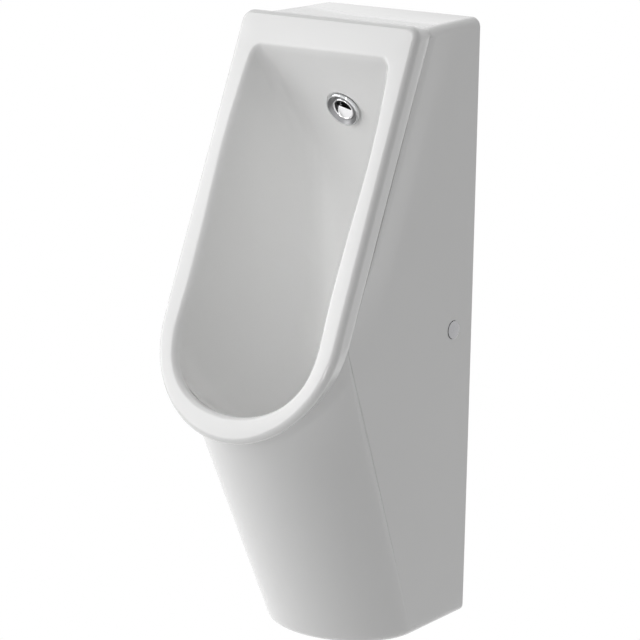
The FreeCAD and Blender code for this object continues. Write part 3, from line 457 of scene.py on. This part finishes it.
def finish(name, colour, roughness, metallic=0.0, mottle=0.04, spread=0.05, mottle_scale=14.0,
           grain_scale=900.0, bump=0.03, bump_depth=0.02 * MM, **sockets):
    """A procedural finish: mottled colour, varying roughness and a fine grain in the normal."""
    if name in bpy.data.materials:
        return bpy.data.materials[name]
    material = bpy.data.materials.new(name)
    material.use_nodes = True
    tree = material.node_tree
    shader = tree.nodes["Principled BSDF"]
    wear = tree.nodes.new("ShaderNodeGroup")
    wear.node_tree = surface_wear()
    wear.inputs["Mottle Scale"].default_value = mottle_scale
    wear.inputs["Grain Scale"].default_value = grain_scale
    wear.inputs["Roughness"].default_value = roughness
    wear.inputs["Spread"].default_value = spread
    tint = tree.nodes.new("ShaderNodeMix")
    tint.data_type = "RGBA"
    tint.inputs["A"].default_value = (*(c * (1 - mottle) for c in colour), 1)
    tint.inputs["B"].default_value = (*colour, 1)
    tree.links.new(add_range(tree, wear.outputs["Mottle"], *TINT_RANGE, 0.0, 1.0), tint.inputs["Factor"])
    tree.links.new(tint.outputs["Result"], shader.inputs["Base Color"])
    tree.links.new(wear.outputs["Roughness"], shader.inputs["Roughness"])
    relief = tree.nodes.new("ShaderNodeBump")
    relief.inputs["Strength"].default_value = bump
    relief.inputs["Distance"].default_value = bump_depth
    tree.links.new(wear.outputs["Height"], relief.inputs["Height"])
    tree.links.new(relief.outputs["Normal"], shader.inputs["Normal"])
    shader.inputs["Metallic"].default_value = metallic
    for title, value in sockets.items():
        shader.inputs[title.replace("_", " ")].default_value = value
    return material


def plated(name, colour, roughness, **traits):
    """A chrome plate: metal with a very fine grain."""
    return finish(name, colour, roughness, metallic=1.0, grain_scale=2500.0, **traits)


def glaze(look):
    """White glaze, glossy and slightly wavy."""
    return finish(
        "white_glaze", look.glaze_colour, roughness=0.11, mottle=0.012, spread=0.02, mottle_scale=6.0,
        grain_scale=90.0, bump=0.05, bump_depth=0.1 * MM, Coat_Weight=0.6, Coat_Roughness=0.04, IOR=1.5,
    )


def biscuit(look):
    """Fired china without glaze."""
    return finish(
        "unglazed_china", look.biscuit_colour, roughness=0.75, mottle=0.10, mottle_scale=25.0,
        grain_scale=1400.0, bump=0.4, bump_depth=0.15 * MM,
    )


def chrome(look):
    """Polished plate of the spreader."""
    return plated(
        "polished_chrome", look.chrome_colour, roughness=0.06, mottle=0.03, spread=0.03, mottle_scale=90.0,
        bump=0.01,
    )


def satin_chrome(look):
    """Duller plate inside the spreader's lip, its colour darkened to paint in the grey reflection that the
    funnel's wall shows.
    """
    return plated(
        "satin_chrome", (0.34, 0.34, 0.35), roughness=0.34, mottle=0.06, spread=0.04, mottle_scale=140.0,
        bump=0.04,
    )


def bright_chrome(look):
    """Bright plate of the water guide, lighter than the other chrome as a painted highlight."""
    return plated(
        "bright_chrome", (0.92, 0.92, 0.93), roughness=0.2, mottle=0.03, spread=0.03, mottle_scale=120.0,
        bump=0.01,
    )


def cap_chrome(look):
    """Satin plate of the cover caps, its colour darkened so that it shows a painted grey reflection like the
    shaded china round it.
    """
    return plated(
        "cap_chrome", look.cap_painted_reflection_colour, roughness=0.2, mottle=0.05, spread=0.05, mottle_scale=110.0, bump=0.03
    )


def throat_painted_shade(look):
    """Painted shade: a near-black colour inside the spreader's funnel, bore and plug, where there is only
    shade.
    """
    return finish("shaded_throat", (0.045, 0.045, 0.047), roughness=0.55, mottle=0.3, mottle_scale=180.0)


def steel(look):
    """Satin steel of the waste, the grate and the screws."""
    return finish(
        "satin_steel", (0.60, 0.60, 0.59), roughness=0.28, metallic=1.0, mottle=0.08, mottle_scale=60.0,
        grain_scale=1800.0, bump=0.08,
    )


def zinc(look):
    """Zinc plate, with the crystals of the plating."""
    material = finish(
        "zinc_plate", (0.56, 0.58, 0.60), roughness=0.38, metallic=1.0, mottle=0.22, mottle_scale=120.0,
        spread=0.1,
    )
    tree = material.node_tree
    spangle = tree.nodes.new("ShaderNodeTexVoronoi")
    spangle.inputs["Scale"].default_value = 150.0
    place = tree.nodes.new("ShaderNodeTexCoord")
    tree.links.new(place.outputs["Object"], spangle.inputs["Vector"])
    tint = tree.nodes["Principled BSDF"].inputs["Base Color"].links[0].from_node
    tree.links.new(spangle.outputs["Color"], tint.inputs["Factor"])
    return material


def brass(look):
    """Turned brass."""
    return finish(
        "turned_brass", (0.72, 0.56, 0.28), roughness=0.3, metallic=1.0, mottle=0.12, mottle_scale=80.0,
        grain_scale=1800.0, bump=0.08,
    )


def rubber(look):
    """Black rubber of the seals."""
    return finish(
        "black_rubber", (0.035, 0.035, 0.036), roughness=0.7, mottle=0.2, bump=0.2, bump_depth=0.05 * MM
    )


def trap_plastic(look):
    """Moulded plastic of the trap, the elbow and their nuts."""
    return finish(
        "moulded_plastic", look.plastic_colour, roughness=0.42, mottle=0.05, bump=0.15, bump_depth=0.04 * MM
    )


def nylon(look):
    """White nylon of the bushes and washers."""
    return finish("white_nylon", (0.85, 0.85, 0.82), roughness=0.4, bump=0.1, bump_depth=0.03 * MM)


# The finish of each material slot
FINISHES = {
    "china": glaze, "chrome": chrome, "steel": steel, "zinc_steel": zinc, "brass": brass, "rubber": rubber,
    "trap_plastic": trap_plastic, "nylon": nylon,
}


def add_light(name, width, height, power, place, target):
    """A rectangular lamp that faces its target."""
    rest_selection()
    bpy.ops.object.light_add(type="AREA", location=place)
    lamp = bpy.context.object
    lamp.name = name
    lamp.data.shape = "RECTANGLE"
    lamp.data.size = width
    lamp.data.size_y = height
    lamp.data.energy = power
    lamp.rotation_euler = (Vector(target) - Vector(place)).to_track_quat("-Z", "Y").to_euler()
    return lamp


def backdrop_for_camera(tree, lit, output):
    """Show plain white to the camera and to mirror and clear surfaces, and keep the lit shader elsewhere."""
    rays = tree.nodes.new("ShaderNodeLightPath").outputs
    mirrored = add_math(tree, "MAXIMUM", rays["Is Glossy Ray"], rays["Is Transmission Ray"])
    seen = add_math(tree, "MAXIMUM", rays["Is Camera Ray"], mirrored)
    white = tree.nodes.new("ShaderNodeBackground" if output.type == "OUTPUT_WORLD" else "ShaderNodeEmission")
    white.inputs["Color"].default_value = (1, 1, 1, 1)
    white.inputs["Strength"].default_value = 1.0
    choose = tree.nodes.new("ShaderNodeMixShader")
    tree.links.new(seen, choose.inputs["Fac"])
    tree.links.new(lit.outputs[0], choose.inputs[1])
    tree.links.new(white.outputs[0], choose.inputs[2])
    tree.links.new(choose.outputs[0], output.inputs["Surface"])


class URINAL_OT_stage(bpy.types.Operator):
    """Set up the camera, the pale floor and the soft studio light"""

    bl_idname = "urinal.stage"
    bl_label = "Stage"

    # Each soft lamp's name, power setting, width, height and place, and what they face
    LAMPS = (
        ("key_light", "key_power", 2.6, 2.2, (-1.95, -1.65, 0.85)),
        ("top_light", "top_power", 2.0, 1.6, (-0.2, 0.7, 1.9)),
    )
    OBJECT_CENTRE = Vector((0, -0.14, 0))
    # The narrow lamp into the bowl: its size and spread, the place that it faces, and its way from there
    BOWL_LAMP_WIDTH, BOWL_LAMP_HEIGHT = 0.15, 0.34
    BOWL_LAMP_SPREAD = math.radians(12)
    MOUTH = Vector((0, -0.204, 0.114))
    BOWL_LAMP_WAY = Vector((0.15, -0.66, 0.21))
    # The camera's sensor in millimetres and its nearest distance, and the floor's side and roughness
    SENSOR_WIDTH, NEAREST_SEEN = 36.0, 0.05
    FLOOR_SIDE, FLOOR_ROUGHNESS = 24.0, 0.7

    def execute(self, context):
        stage = context.scene.urinal_stage
        context.scene.view_settings.view_transform = "Standard"
        self.camera(context, stage)
        self.floor(stage)
        self.room(context, stage)
        for name, power, width, height, place in self.LAMPS:
            add_light(name, width, height, getattr(stage, power), place, self.OBJECT_CENTRE)
        beam = add_light(
            "bowl_light", self.BOWL_LAMP_WIDTH, self.BOWL_LAMP_HEIGHT, stage.bowl_power,
            self.MOUTH + self.BOWL_LAMP_WAY, self.MOUTH,
        )
        beam.data.spread = self.BOWL_LAMP_SPREAD
        return {"FINISHED"}

    def camera(self, context, stage):
        """The camera at the photograph's viewing angle."""
        rest_selection()
        bpy.ops.object.camera_add(location=stage.camera_place)
        camera = context.object
        camera.name = "photo_camera"
        turn, rise, roll = stage.azimuth, stage.elevation, stage.roll
        ahead = Vector((-math.sin(turn) * math.cos(rise), math.cos(turn) * math.cos(rise), -math.sin(rise)))
        level = Vector((math.cos(turn), math.sin(turn), 0))
        upright = level.cross(ahead)
        right = level * math.cos(roll) + upright * math.sin(roll)
        up = upright * math.cos(roll) - level * math.sin(roll)
        camera.rotation_euler = Matrix((right, up, -ahead)).transposed().to_euler()
        camera.data.sensor_width = self.SENSOR_WIDTH
        camera.data.lens = stage.lens
        camera.data.clip_start = self.NEAREST_SEEN
        context.scene.camera = camera

    def floor(self, stage):
        """The plain pale floor below the china's foot."""
        rest_selection()
        level = CAD_BOX[0].z - stage.floor_drop
        bpy.ops.mesh.primitive_plane_add(size=self.FLOOR_SIDE, location=(0, 0, level))
        plane = bpy.context.object
        plane.name = "studio_floor"
        material = bpy.data.materials.new("pale_floor")
        material.use_nodes = True
        tree = material.node_tree
        shader = tree.nodes["Principled BSDF"]
        shader.inputs["Base Color"].default_value = (*stage.floor_colour, 1)
        shader.inputs["Roughness"].default_value = self.FLOOR_ROUGHNESS
        backdrop_for_camera(tree, shader, tree.nodes["Material Output"])
        plane.data.materials.append(material)

    def room(self, context, stage):
        """Even white light from all round."""
        world = bpy.data.worlds.new("studio_room")
        context.scene.world = world
        world.use_nodes = True
        tree = world.node_tree
        room = tree.nodes["Background"]
        room.inputs["Color"].default_value = (1, 1, 1, 1)
        room.inputs["Strength"].default_value = stage.world_strength
        backdrop_for_camera(tree, room, tree.nodes["World Output"])


class URINAL_OT_china(bpy.types.Operator):
    """Skin the cast china with glaze, and leave its hollow back and foot unglazed"""

    bl_idname = "urinal.china"
    bl_label = "China"

    # The china's two finishes, in the order of its material slots
    GLAZED, BARE = 0, 1
    # Ways from which glazed faces can be seen; the hollow is seen only from behind and below
    SIGHT_LINES = (
        (0, -0.91, 0.41), (0, -0.6, 0.8), (0, -0.3, 0.95), (0, -1, 0), (0, -0.85, -0.5), (0, 0, 1),
        (1, -0.1, 0), (-1, -0.1, 0), (0.8, -0.2, -0.55), (-0.8, -0.2, -0.55),
        (0.7, -0.7, 0.2), (-0.7, -0.7, 0.2),
    )
    # A sight line's start off its face and least rise from it, and how a way out to the back leans
    SIGHT_CLEAR, SIGHT_LEAST, BACK_LEAN = 0.3 * MM, 0.02, 0.35

    # The rim's front at the height of the wall fixing, in millimetres, and its lean
    RIM_FRONT_Y, RIM_SLOPE = -267.53, 0.4514
    # Distances in millimetres behind the rim's front, where the flank is divided
    FLANK_LINES = (12, 20, 26.5, 30.5, 36, 43, 51, 60, 70, 80)
    # Distances behind the rim's front: its side's start and end, the step's two ends, and the flank's end
    RIM_START, RIM_BACK, STEP_START, STEP_END, FLANK_END = 6.0, 27.0, 26.6, 31.0, 80.0
    # Distances from the middle plane: of the outer skin, of what is pushed out, and the step's furthest reach
    SKIN_INNER, PUSH_INNER, STEP_REACH = 96.0, 97.0, 110.2
    # Largest pushes outward on the rim's side and on the flank, and how the flank's push fades backward
    RIM_PUSH, FLANK_PUSH, FLANK_FADE = 2.3, 5.4, 1.3
    # Heights where the push fades to the top and to the lip, over which heights, and how much the top loses
    TOP_START, TOP_RUN, TOP_LOSS = 200.0, 120.0, 0.4
    LIP_START, LIP_RUN = 20.0, 80.0
    # The crease that is smoothed: its middle and half width behind the rim's front, and its fade to the top
    CREASE_MIDDLE, CREASE_HALF, CREASE_TOP, CREASE_RUN, CREASE_LEAST = 28.3, 3.0, 300.0, 120.0, 0.15
    CREASE_FACTOR, CREASE_ROUNDS = 0.5, 6

    def execute(self, context):
        look = context.scene.urinal_look
        shell = merged_copy("ceramic_body", "china_shell")
        self.fill_flanks(shell)
        shell.data.materials.clear()
        for material in (glaze(look), biscuit(look)):
            shell.data.materials.append(material)
        self.leave_hollow_unglazed(shell)
        settle(shell, "fixture", None, "ceramic_body")
        return {"FINISHED"}

    def fill_flanks(self, shell):
        """Bring the flanks behind the rim out to its side; a low step stays near the top."""
        backward = Vector((0, 1, -self.RIM_SLOPE)).normalized()
        for line in self.FLANK_LINES:
            self.select_skin(shell)
            bpy.ops.mesh.bisect(plane_co=(0, (self.RIM_FRONT_Y + line) * MM, 0), plane_no=backward)
            bpy.ops.object.mode_set(mode="OBJECT")
        groups = {sign: shell.vertex_groups.new(name=f"flank_{side}") for side, sign in SIDES}
        crease = shell.vertex_groups.new(name="crease")
        for vertex in shell.data.vertices:
            place = vertex.co / MM
            share = self.flank_share(place)
            if share > 0:
                groups[1 if place.x > 0 else -1].add([vertex.index], share, "REPLACE")
                if abs(self.behind_rim(place) - self.CREASE_MIDDLE) < self.CREASE_HALF:
                    fade = limited((self.CREASE_TOP - place.z) / self.CREASE_RUN, self.CREASE_LEAST)
                    crease.add([vertex.index], fade, "REPLACE")
        for side, sign in SIDES:
            shaped(
                shell, "DISPLACE", direction="X", strength=sign * self.FLANK_PUSH * MM, mid_level=0.0,
                vertex_group=f"flank_{side}",
            )
        shaped(
            shell, "SMOOTH", factor=self.CREASE_FACTOR, iterations=self.CREASE_ROUNDS,
            use_y=False, use_z=False, vertex_group="crease",
        )

    def select_skin(self, shell):
        """Open the shell with only the faces of its outer flanks selected."""
        edit(shell)
        bpy.context.tool_settings.mesh_select_mode = (False, False, True)
        bpy.ops.mesh.select_all(action="DESELECT")
        bpy.ops.object.mode_set(mode="OBJECT")
        reach = [abs(vertex.co.x) for vertex in shell.data.vertices]
        for face in shell.data.polygons:
            face.select = min(reach[corner] for corner in face.vertices) > self.SKIN_INNER * MM
        bpy.ops.object.mode_set(mode="EDIT")

    def behind_rim(self, place):
        """How far a point lies behind the rim's front."""
        return place.y - self.RIM_FRONT_Y - self.RIM_SLOPE * place.z

    def flank_share(self, place):
        """How far a point of the outer skin goes out, as a share of the largest push."""
        behind = self.behind_rim(place)
        if abs(place.x) < self.PUSH_INNER or not self.RIM_START < behind < self.FLANK_END:
            return 0.0
        if behind < self.STEP_START:
            along = (behind - self.RIM_START) / (self.RIM_BACK - self.RIM_START)
            push = self.RIM_PUSH / self.FLANK_PUSH * along
        elif behind < self.STEP_END:
            push = max(0.0, self.STEP_REACH - abs(place.x)) / self.FLANK_PUSH
        else:
            push = ((self.FLANK_END - behind) / (self.FLANK_END - self.RIM_BACK)) ** self.FLANK_FADE
        loss = self.TOP_LOSS * (place.z - self.TOP_START) / self.TOP_RUN
        near_top = limited(1.0 - loss, 1.0 - self.TOP_LOSS)
        near_lip = limited((place.z - self.LIP_START) / self.LIP_RUN)
        return min(1.0, push) * near_top * near_lip

    def leave_hollow_unglazed(self, shell):
        """Glaze the faces that are seen from outside, and leave those that open to the back bare."""
        mesh = shell.data
        lines = [Vector(way).normalized() for way in self.SIGHT_LINES]
        tree = BVHTree.FromPolygons([v.co for v in mesh.vertices], [f.vertices for f in mesh.polygons])
        for face in mesh.polygons:
            start = face.center + face.normal * self.SIGHT_CLEAR
            inward = face.normal.x * face.center.x < 0
            to_back = Vector((math.copysign(self.BACK_LEAN, -face.center.x), 1, 0)).normalized()
            if inward and tree.ray_cast(start, to_back)[0] is None:
                face.material_index = self.BARE
                continue
            seen = self.flank_share(face.center / MM) > 0 or any(
                way.dot(face.normal) > self.SIGHT_LEAST and tree.ray_cast(start, way)[0] is None
                for way in lines
            )
            face.material_index = self.GLAZED if seen else self.BARE


class URINAL_OT_finishes(bpy.types.Operator):
    """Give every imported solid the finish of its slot"""

    bl_idname = "urinal.finishes"
    bl_label = "Finishes"

    def execute(self, context):
        look = context.scene.urinal_look
        for node, solid in frame["nodes"].items():
            solid.data.materials.clear()
            solid.data.materials.append(FINISHES[SLOTS[node]](look))
        return {"FINISHED"}


class URINAL_OT_spreader(bpy.types.Operator):
    """Turn the chrome spreader with its lip, funnel and threaded shank, and cut the water guide's ramp"""

    bl_idname = "urinal.spreader"
    bl_label = "Spreader"

    # Radius and height in millimetres: up the shank, over the rolled lip, and down the funnel to the bore
    ROSETTE = (
        (8.0, -38), (9.5, -38), (9.9, -37.6), (9.9, -6), (12.4, -6), (12.4, 1), (19.1, 1), (19.4, 1.3),
        *arc(18.0, 3.6, 1.4, 0, 90, 7), *arc(18.0, 4.0, 1.0, 96, 121, 4),
        (15.2, 3.4), (12.9, 2.1), (12.6, 2), (11.2, 2), (11.2, -4), (8.0, -4), (8.0, -38),
    )
    ROSETTE_STEPS = 96
    # The rosette's finishes: painted shade within the funnel, a satin plate darkened as a painted reflection
    # inside the lip, polished elsewhere
    SATIN, DARK = 1, 2
    FUNNEL_RADIUS, LIP_RADIUS, LIP_FLOOR, LIP_FACING = 11.4, 17.4, 1.9, 0.3
    # The water guide's ring, the ramp's round and its two cuts, and the plug in the bore
    RING = ((11.0, 2), (12.5, 2), (12.5, 2.8), (12.2, 3.1), (11.3, 3.1), (11.0, 2.8), (11.0, 2))
    RAMP = ((0, -4), (11.1, -4), (11.1, 6), (0, 6))
    RAMP_CUTS = (((0, -1.5, 0), (0, 1, 0)), ((0, -1.5, -1.5), (0, 0.423, 0.906)))
    RAMP_EDGE = 0.35
    PLUG = ((6.8, -10), (7.9, -10), (7.9, -4), (6.8, -4), (6.8, -10))
    # The guide's finishes: painted shade below the plug's top, a lightened plate as a painted highlight
    # elsewhere
    GUIDE_BRIGHT, GUIDE_DARK, PLUG_TOP = 0, 1, -4.2
    GUIDE_TURN = math.radians(-18)

    def execute(self, context):
        look = context.scene.urinal_look
        for piece, node, turn in (
            (self.rosette(look), "nozzle_rosette", 0.0), (self.guide(look), "nozzle_insert", self.GUIDE_TURN),
        ):
            piece.matrix_world = nozzle_place() @ Matrix.Rotation(turn, 4, "Z")
            settle(piece, "fixture", None, node)
        return {"FINISHED"}

    def rosette(self, look):
        """The chrome face with its rolled lip, funnel and threaded shank."""
        piece = turned("spreader_rosette", self.ROSETTE, self.ROSETTE_STEPS)
        joined(piece, thread("shank_thread", crest=10.4, depth=0.7, pitch=1.2, low=-37, turns=24))
        for material in (chrome(look), satin_chrome(look), throat_painted_shade(look)):
            piece.data.materials.append(material)
        for face in piece.data.polygons:
            radius, level = face.center.xy.length / MM, face.center.z / MM
            # Faces inside the funnel get the near-black colour, painted shade
            if radius < self.FUNNEL_RADIUS and face.normal.xy.dot(face.center.xy) <= 0:
                face.material_index = self.DARK
            # Upward faces inside the lip get the darkened satin plate, a painted reflection
            elif radius < self.LIP_RADIUS and level > self.LIP_FLOOR and face.normal.z > self.LIP_FACING:
                face.material_index = self.SATIN
        return piece

    def guide(self, look):
        """The water guide: a ring with a flat ramp below and a plug in the bore."""
        ring = turned("water_guide", self.RING)
        ramp = turned("guide_ramp", self.RAMP)
        edit(ramp)
        for point, way in self.RAMP_CUTS:
            bpy.ops.mesh.select_all(action="SELECT")
            bpy.ops.mesh.bisect(plane_co=Vector(point) * MM, plane_no=way, use_fill=True, clear_outer=True)
        close_up()
        rounded(ramp, self.RAMP_EDGE)
        piece = joined(ring, ramp, turned("guide_plug", self.PLUG))
        # The guide's plate is lightened, a painted highlight, and its inside gets painted shade
        for material in (bright_chrome(look), throat_painted_shade(look)):
            piece.data.materials.append(material)
        for face in piece.data.polygons:
            # Faces below the plug's top get painted shade, the rest the lightened plate, a painted highlight
            below = face.center.z < self.PLUG_TOP * MM
            face.material_index = self.GUIDE_DARK if below else self.GUIDE_BRIGHT
        return piece


class URINAL_OT_inlet(bpy.types.Operator):
    """Round the inlet elbow, its seals and washers, and chamfer the spreader's nut"""

    bl_idname = "urinal.inlet"
    bl_label = "Inlet"

    # Node, piece and edge rounding in millimetres
    ROWS = (
        ("inlet_elbow", "elbow_moulding", 0.6), ("inlet_seal", "socket_lip_seal", 0.25),
        ("nozzle_gasket", "spreader_gasket", 0.2), ("nozzle_washer", "spreader_washer", 0.5),
    )

    def execute(self, context):
        look = context.scene.urinal_look
        soften_nodes(self.ROWS, look)
        nut = chamfered_nut("nozzle_nut", "spreader_nut", nozzle_place(), low=-18.9, high=-10.9, flats=32.0)
        settle(nut, "fixture", brass(look), "nozzle_nut")
        return {"FINISHED"}


class URINAL_OT_waste(bpy.types.Operator):
    """Round the waste fitting and its grate, thread its tail and chamfer its nut"""

    bl_idname = "urinal.waste"
    bl_label = "Waste"

    # Node, piece and edge rounding in millimetres
    ROWS = (
        ("waste_gasket", "waste_gasket_ring", 0.3), ("waste_washer", "waste_washer_ring", 0.6),
        ("strainer", "strainer_grate", 0.4),
    )

    def execute(self, context):
        look = context.scene.urinal_look
        soften_nodes(self.ROWS, look)
        fitting = softened("waste_flange", "waste_fitting", width=0.4)
        ridge = thread("tail_thread", crest=20.9, depth=0.9, pitch=2.0, low=-207.5, turns=15)
        ridge.matrix_world = waste_place()
        settle(joined(fitting, ridge), "fixture", steel(look), "waste_flange")
        nut = chamfered_nut(
            "waste_nut", "waste_hexagon_nut", waste_place(), low=-175.0, high=-166.0, flats=56.0
        )
        settle(nut, "fixture", trap_plastic(look), "waste_nut")
        return {"FINISHED"}


class URINAL_OT_trap(bpy.types.Operator):
    """Round the bottle trap, its seals and its outlet, and rib the two grip nuts"""

    bl_idname = "urinal.trap"
    bl_label = "Trap"

    # Node, piece and edge rounding in millimetres
    ROWS = (
        ("trap_seal", "union_seal_ring", 0.5), ("trap_head", "trap_head_moulding", 0.8),
        ("trap_cup_seal", "cup_seal_ring", 0.3), ("trap_cup", "trap_cup_moulding", 0.8),
        ("outlet_seal", "outlet_seal_ring", 0.6), ("outlet_pipe", "outlet_pipe_moulding", 0.6),
    )
    # Grip nuts: node, piece, the axis that the nut lies along, and the turn of its ribs about X
    UPWARD, BACKWARD = 2, 1
    NUTS = (
        ("trap_union_nut", "union_grip_nut", UPWARD, 0.0),
        ("outlet_nut", "outlet_grip_nut", BACKWARD, -QUARTER_TURN),
    )
    # Edge rounding, the ribs' distance from the nut's ends, and their number
    NUT_EDGE, RIB_INSET, RIB_COUNT = 0.8, 2, 28

    def execute(self, context):
        look = context.scene.urinal_look
        soften_nodes(self.ROWS, look)
        for node, name, along, turn in self.NUTS:
            low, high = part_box(node)
            half = (high - low)[along] / MM / 2 - self.RIB_INSET
            grip = ribs(name + "_ribs", (high.x - low.x) / MM / 2, -half, half, self.RIB_COUNT)
            grip.matrix_world = Matrix.Translation(middle(node)) @ Matrix.Rotation(turn, 4, "X")
            nut = joined(softened(node, name, self.NUT_EDGE), grip)
            settle(nut, "fixture", trap_plastic(look), node)
        return {"FINISHED"}


class URINAL_OT_fixings(bpy.types.Operator):
    """Round the wall brackets, bushes and cup washers, and make the screws and their cover caps"""

    bl_idname = "urinal.fixings"
    bl_label = "Side fixings"

    # Node, piece and edge rounding in millimetres, on each side
    ROWS = (
        ("bracket", "wall_bracket", 0.35), ("bracket_bush", "bracket_sleeve", 0.4),
        ("screw_collar", "cup_washer", 0.3),
    )
    # The screw's radius and height, from its tip to the top of its pan head
    SCREW = (
        (0, -25.7), (1.6, -25.7), (2.6, -24.4), (2.6, -3.2), (5.1, -3.2), (5.3, -3.0),
        *arc(3.4, -1.9, 1.9, 0, 90), (0, 0),
    )
    SCREW_STEPS = 48
    # The cross recess: half its length, half its width, its depth, and how far its cutter stands up
    RECESS_HALF, RECESS_WIDE, RECESS_DEEP, RECESS_CLEAR = 3.1, 0.55, 1.5, 1
    # The cap: its bore, side and open edge, its crown's height and thickness, and the bend of its brim
    CAP_BORE, CAP_SIDE, CAP_CHAMFER, CROWN_RISE, CROWN_WALL = 8.7, 9.4, 0.2, 1.3, 0.6
    BRIM_BEND, BRIM_DROP, BRIM_END = 0.7, 0.1, 68
    # The dome's points, as shares of the radius at the brim's inner edge
    DOME_SHARES = (0.85, 0.68, 0.5, 0.3, 0.12)

    def execute(self, context):
        look = context.scene.urinal_look
        screw, cap = self.screw(), self.cap()
        # The screw is placed by its outer end, and the cap by its inner one
        patterns = (
            (screw, "pan_head_screw", "side_screw", steel(look), max),
            # The caps get their darkened plate, a painted reflection
            (cap, "push_fit_cap", "cover_cap", cap_chrome(look), min),
        )
        for side, sign in SIDES:
            rows = [(f"{node}_{side}", f"{name}_{side}", width) for node, name, width in self.ROWS]
            soften_nodes(rows, look)
            for pattern, name, node, material, end in patterns:
                node = f"{node}_{side}"
                low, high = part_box(node)
                copy = twin(pattern, f"{name}_{side}")
                copy.matrix_world = side_place(sign, end(abs(low.x), abs(high.x)), node)
                settle(copy, BODIES[node], material, node)
        for pattern in (screw, cap):
            bpy.data.objects.remove(pattern)
        return {"FINISHED"}

    def screw(self):
        """The screw, from the top of its head at zero down to its tip."""
        body = turned("screw_pattern", self.SCREW, self.SCREW_STEPS)
        for long, wide in ((self.RECESS_HALF, self.RECESS_WIDE), (self.RECESS_WIDE, self.RECESS_HALF)):
            cut(body, block("recess", (-long, -wide, -self.RECESS_DEEP), (long, wide, self.RECESS_CLEAR)))
        return joined(body, thread("screw_thread", crest=3.0, depth=0.6, pitch=1.0, low=-24, turns=19))

    def cap(self):
        """The cap, from its open edge at zero to the top of its dome."""
        low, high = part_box("cover_cap_right")
        top = (high.x - low.x) / MM
        shoulder = top - self.CROWN_RISE
        inside = shoulder - self.CROWN_WALL
        brim = arc(self.CAP_BORE, shoulder - self.BRIM_DROP, self.BRIM_BEND, 0, self.BRIM_END)
        edge, level = brim[-1]
        dome = [(edge * share, level + (top - level) * (1 - share ** 2)) for share in self.DOME_SHARES]
        return turned("cap_pattern", [
            (0, inside), (self.CAP_BORE, inside), (self.CAP_BORE, 0), (self.CAP_SIDE - self.CAP_CHAMFER, 0),
            (self.CAP_SIDE, self.CAP_CHAMFER), *brim, *dome, (0, top),
        ])


class URINAL_PT_panel(bpy.types.Panel):
    """Lists the steps that dress the urinal"""

    bl_idname = "URINAL_PT_panel"
    bl_label = "Urinal"
    bl_space_type = "VIEW_3D"
    bl_region_type = "UI"
    bl_category = "Urinal"

    def draw(self, context):
        layout = self.layout
        for step in STEPS:
            layout.operator(step.bl_idname)
        for title, group in (("Stage", context.scene.urinal_stage), ("Look", context.scene.urinal_look)):
            layout.label(text=title)
            for name in group.__annotations__:
                layout.prop(group, name)


STEPS = (
    URINAL_OT_finishes, URINAL_OT_china, URINAL_OT_spreader, URINAL_OT_inlet, URINAL_OT_waste, URINAL_OT_trap,
    URINAL_OT_fixings, URINAL_OT_stage,
)
CLASSES = (UrinalStage, UrinalLook, *STEPS, URINAL_PT_panel)


def register():
    for item in CLASSES:
        bpy.utils.register_class(item)
    bpy.types.Scene.urinal_stage = bpy.props.PointerProperty(type=UrinalStage)
    bpy.types.Scene.urinal_look = bpy.props.PointerProperty(type=UrinalLook)


def unregister():
    del bpy.types.Scene.urinal_look
    del bpy.types.Scene.urinal_stage
    for item in reversed(CLASSES):
        bpy.utils.unregister_class(item)


def main():
    """Dress the urinal step by step."""
    register()
    bpy.ops.urinal.finishes()
    bpy.ops.urinal.china()
    bpy.ops.urinal.spreader()
    bpy.ops.urinal.inlet()
    bpy.ops.urinal.waste()
    bpy.ops.urinal.trap()
    bpy.ops.urinal.fixings()
    bpy.ops.urinal.stage()
    rest_selection()


if __name__ == "__main__":
    main()
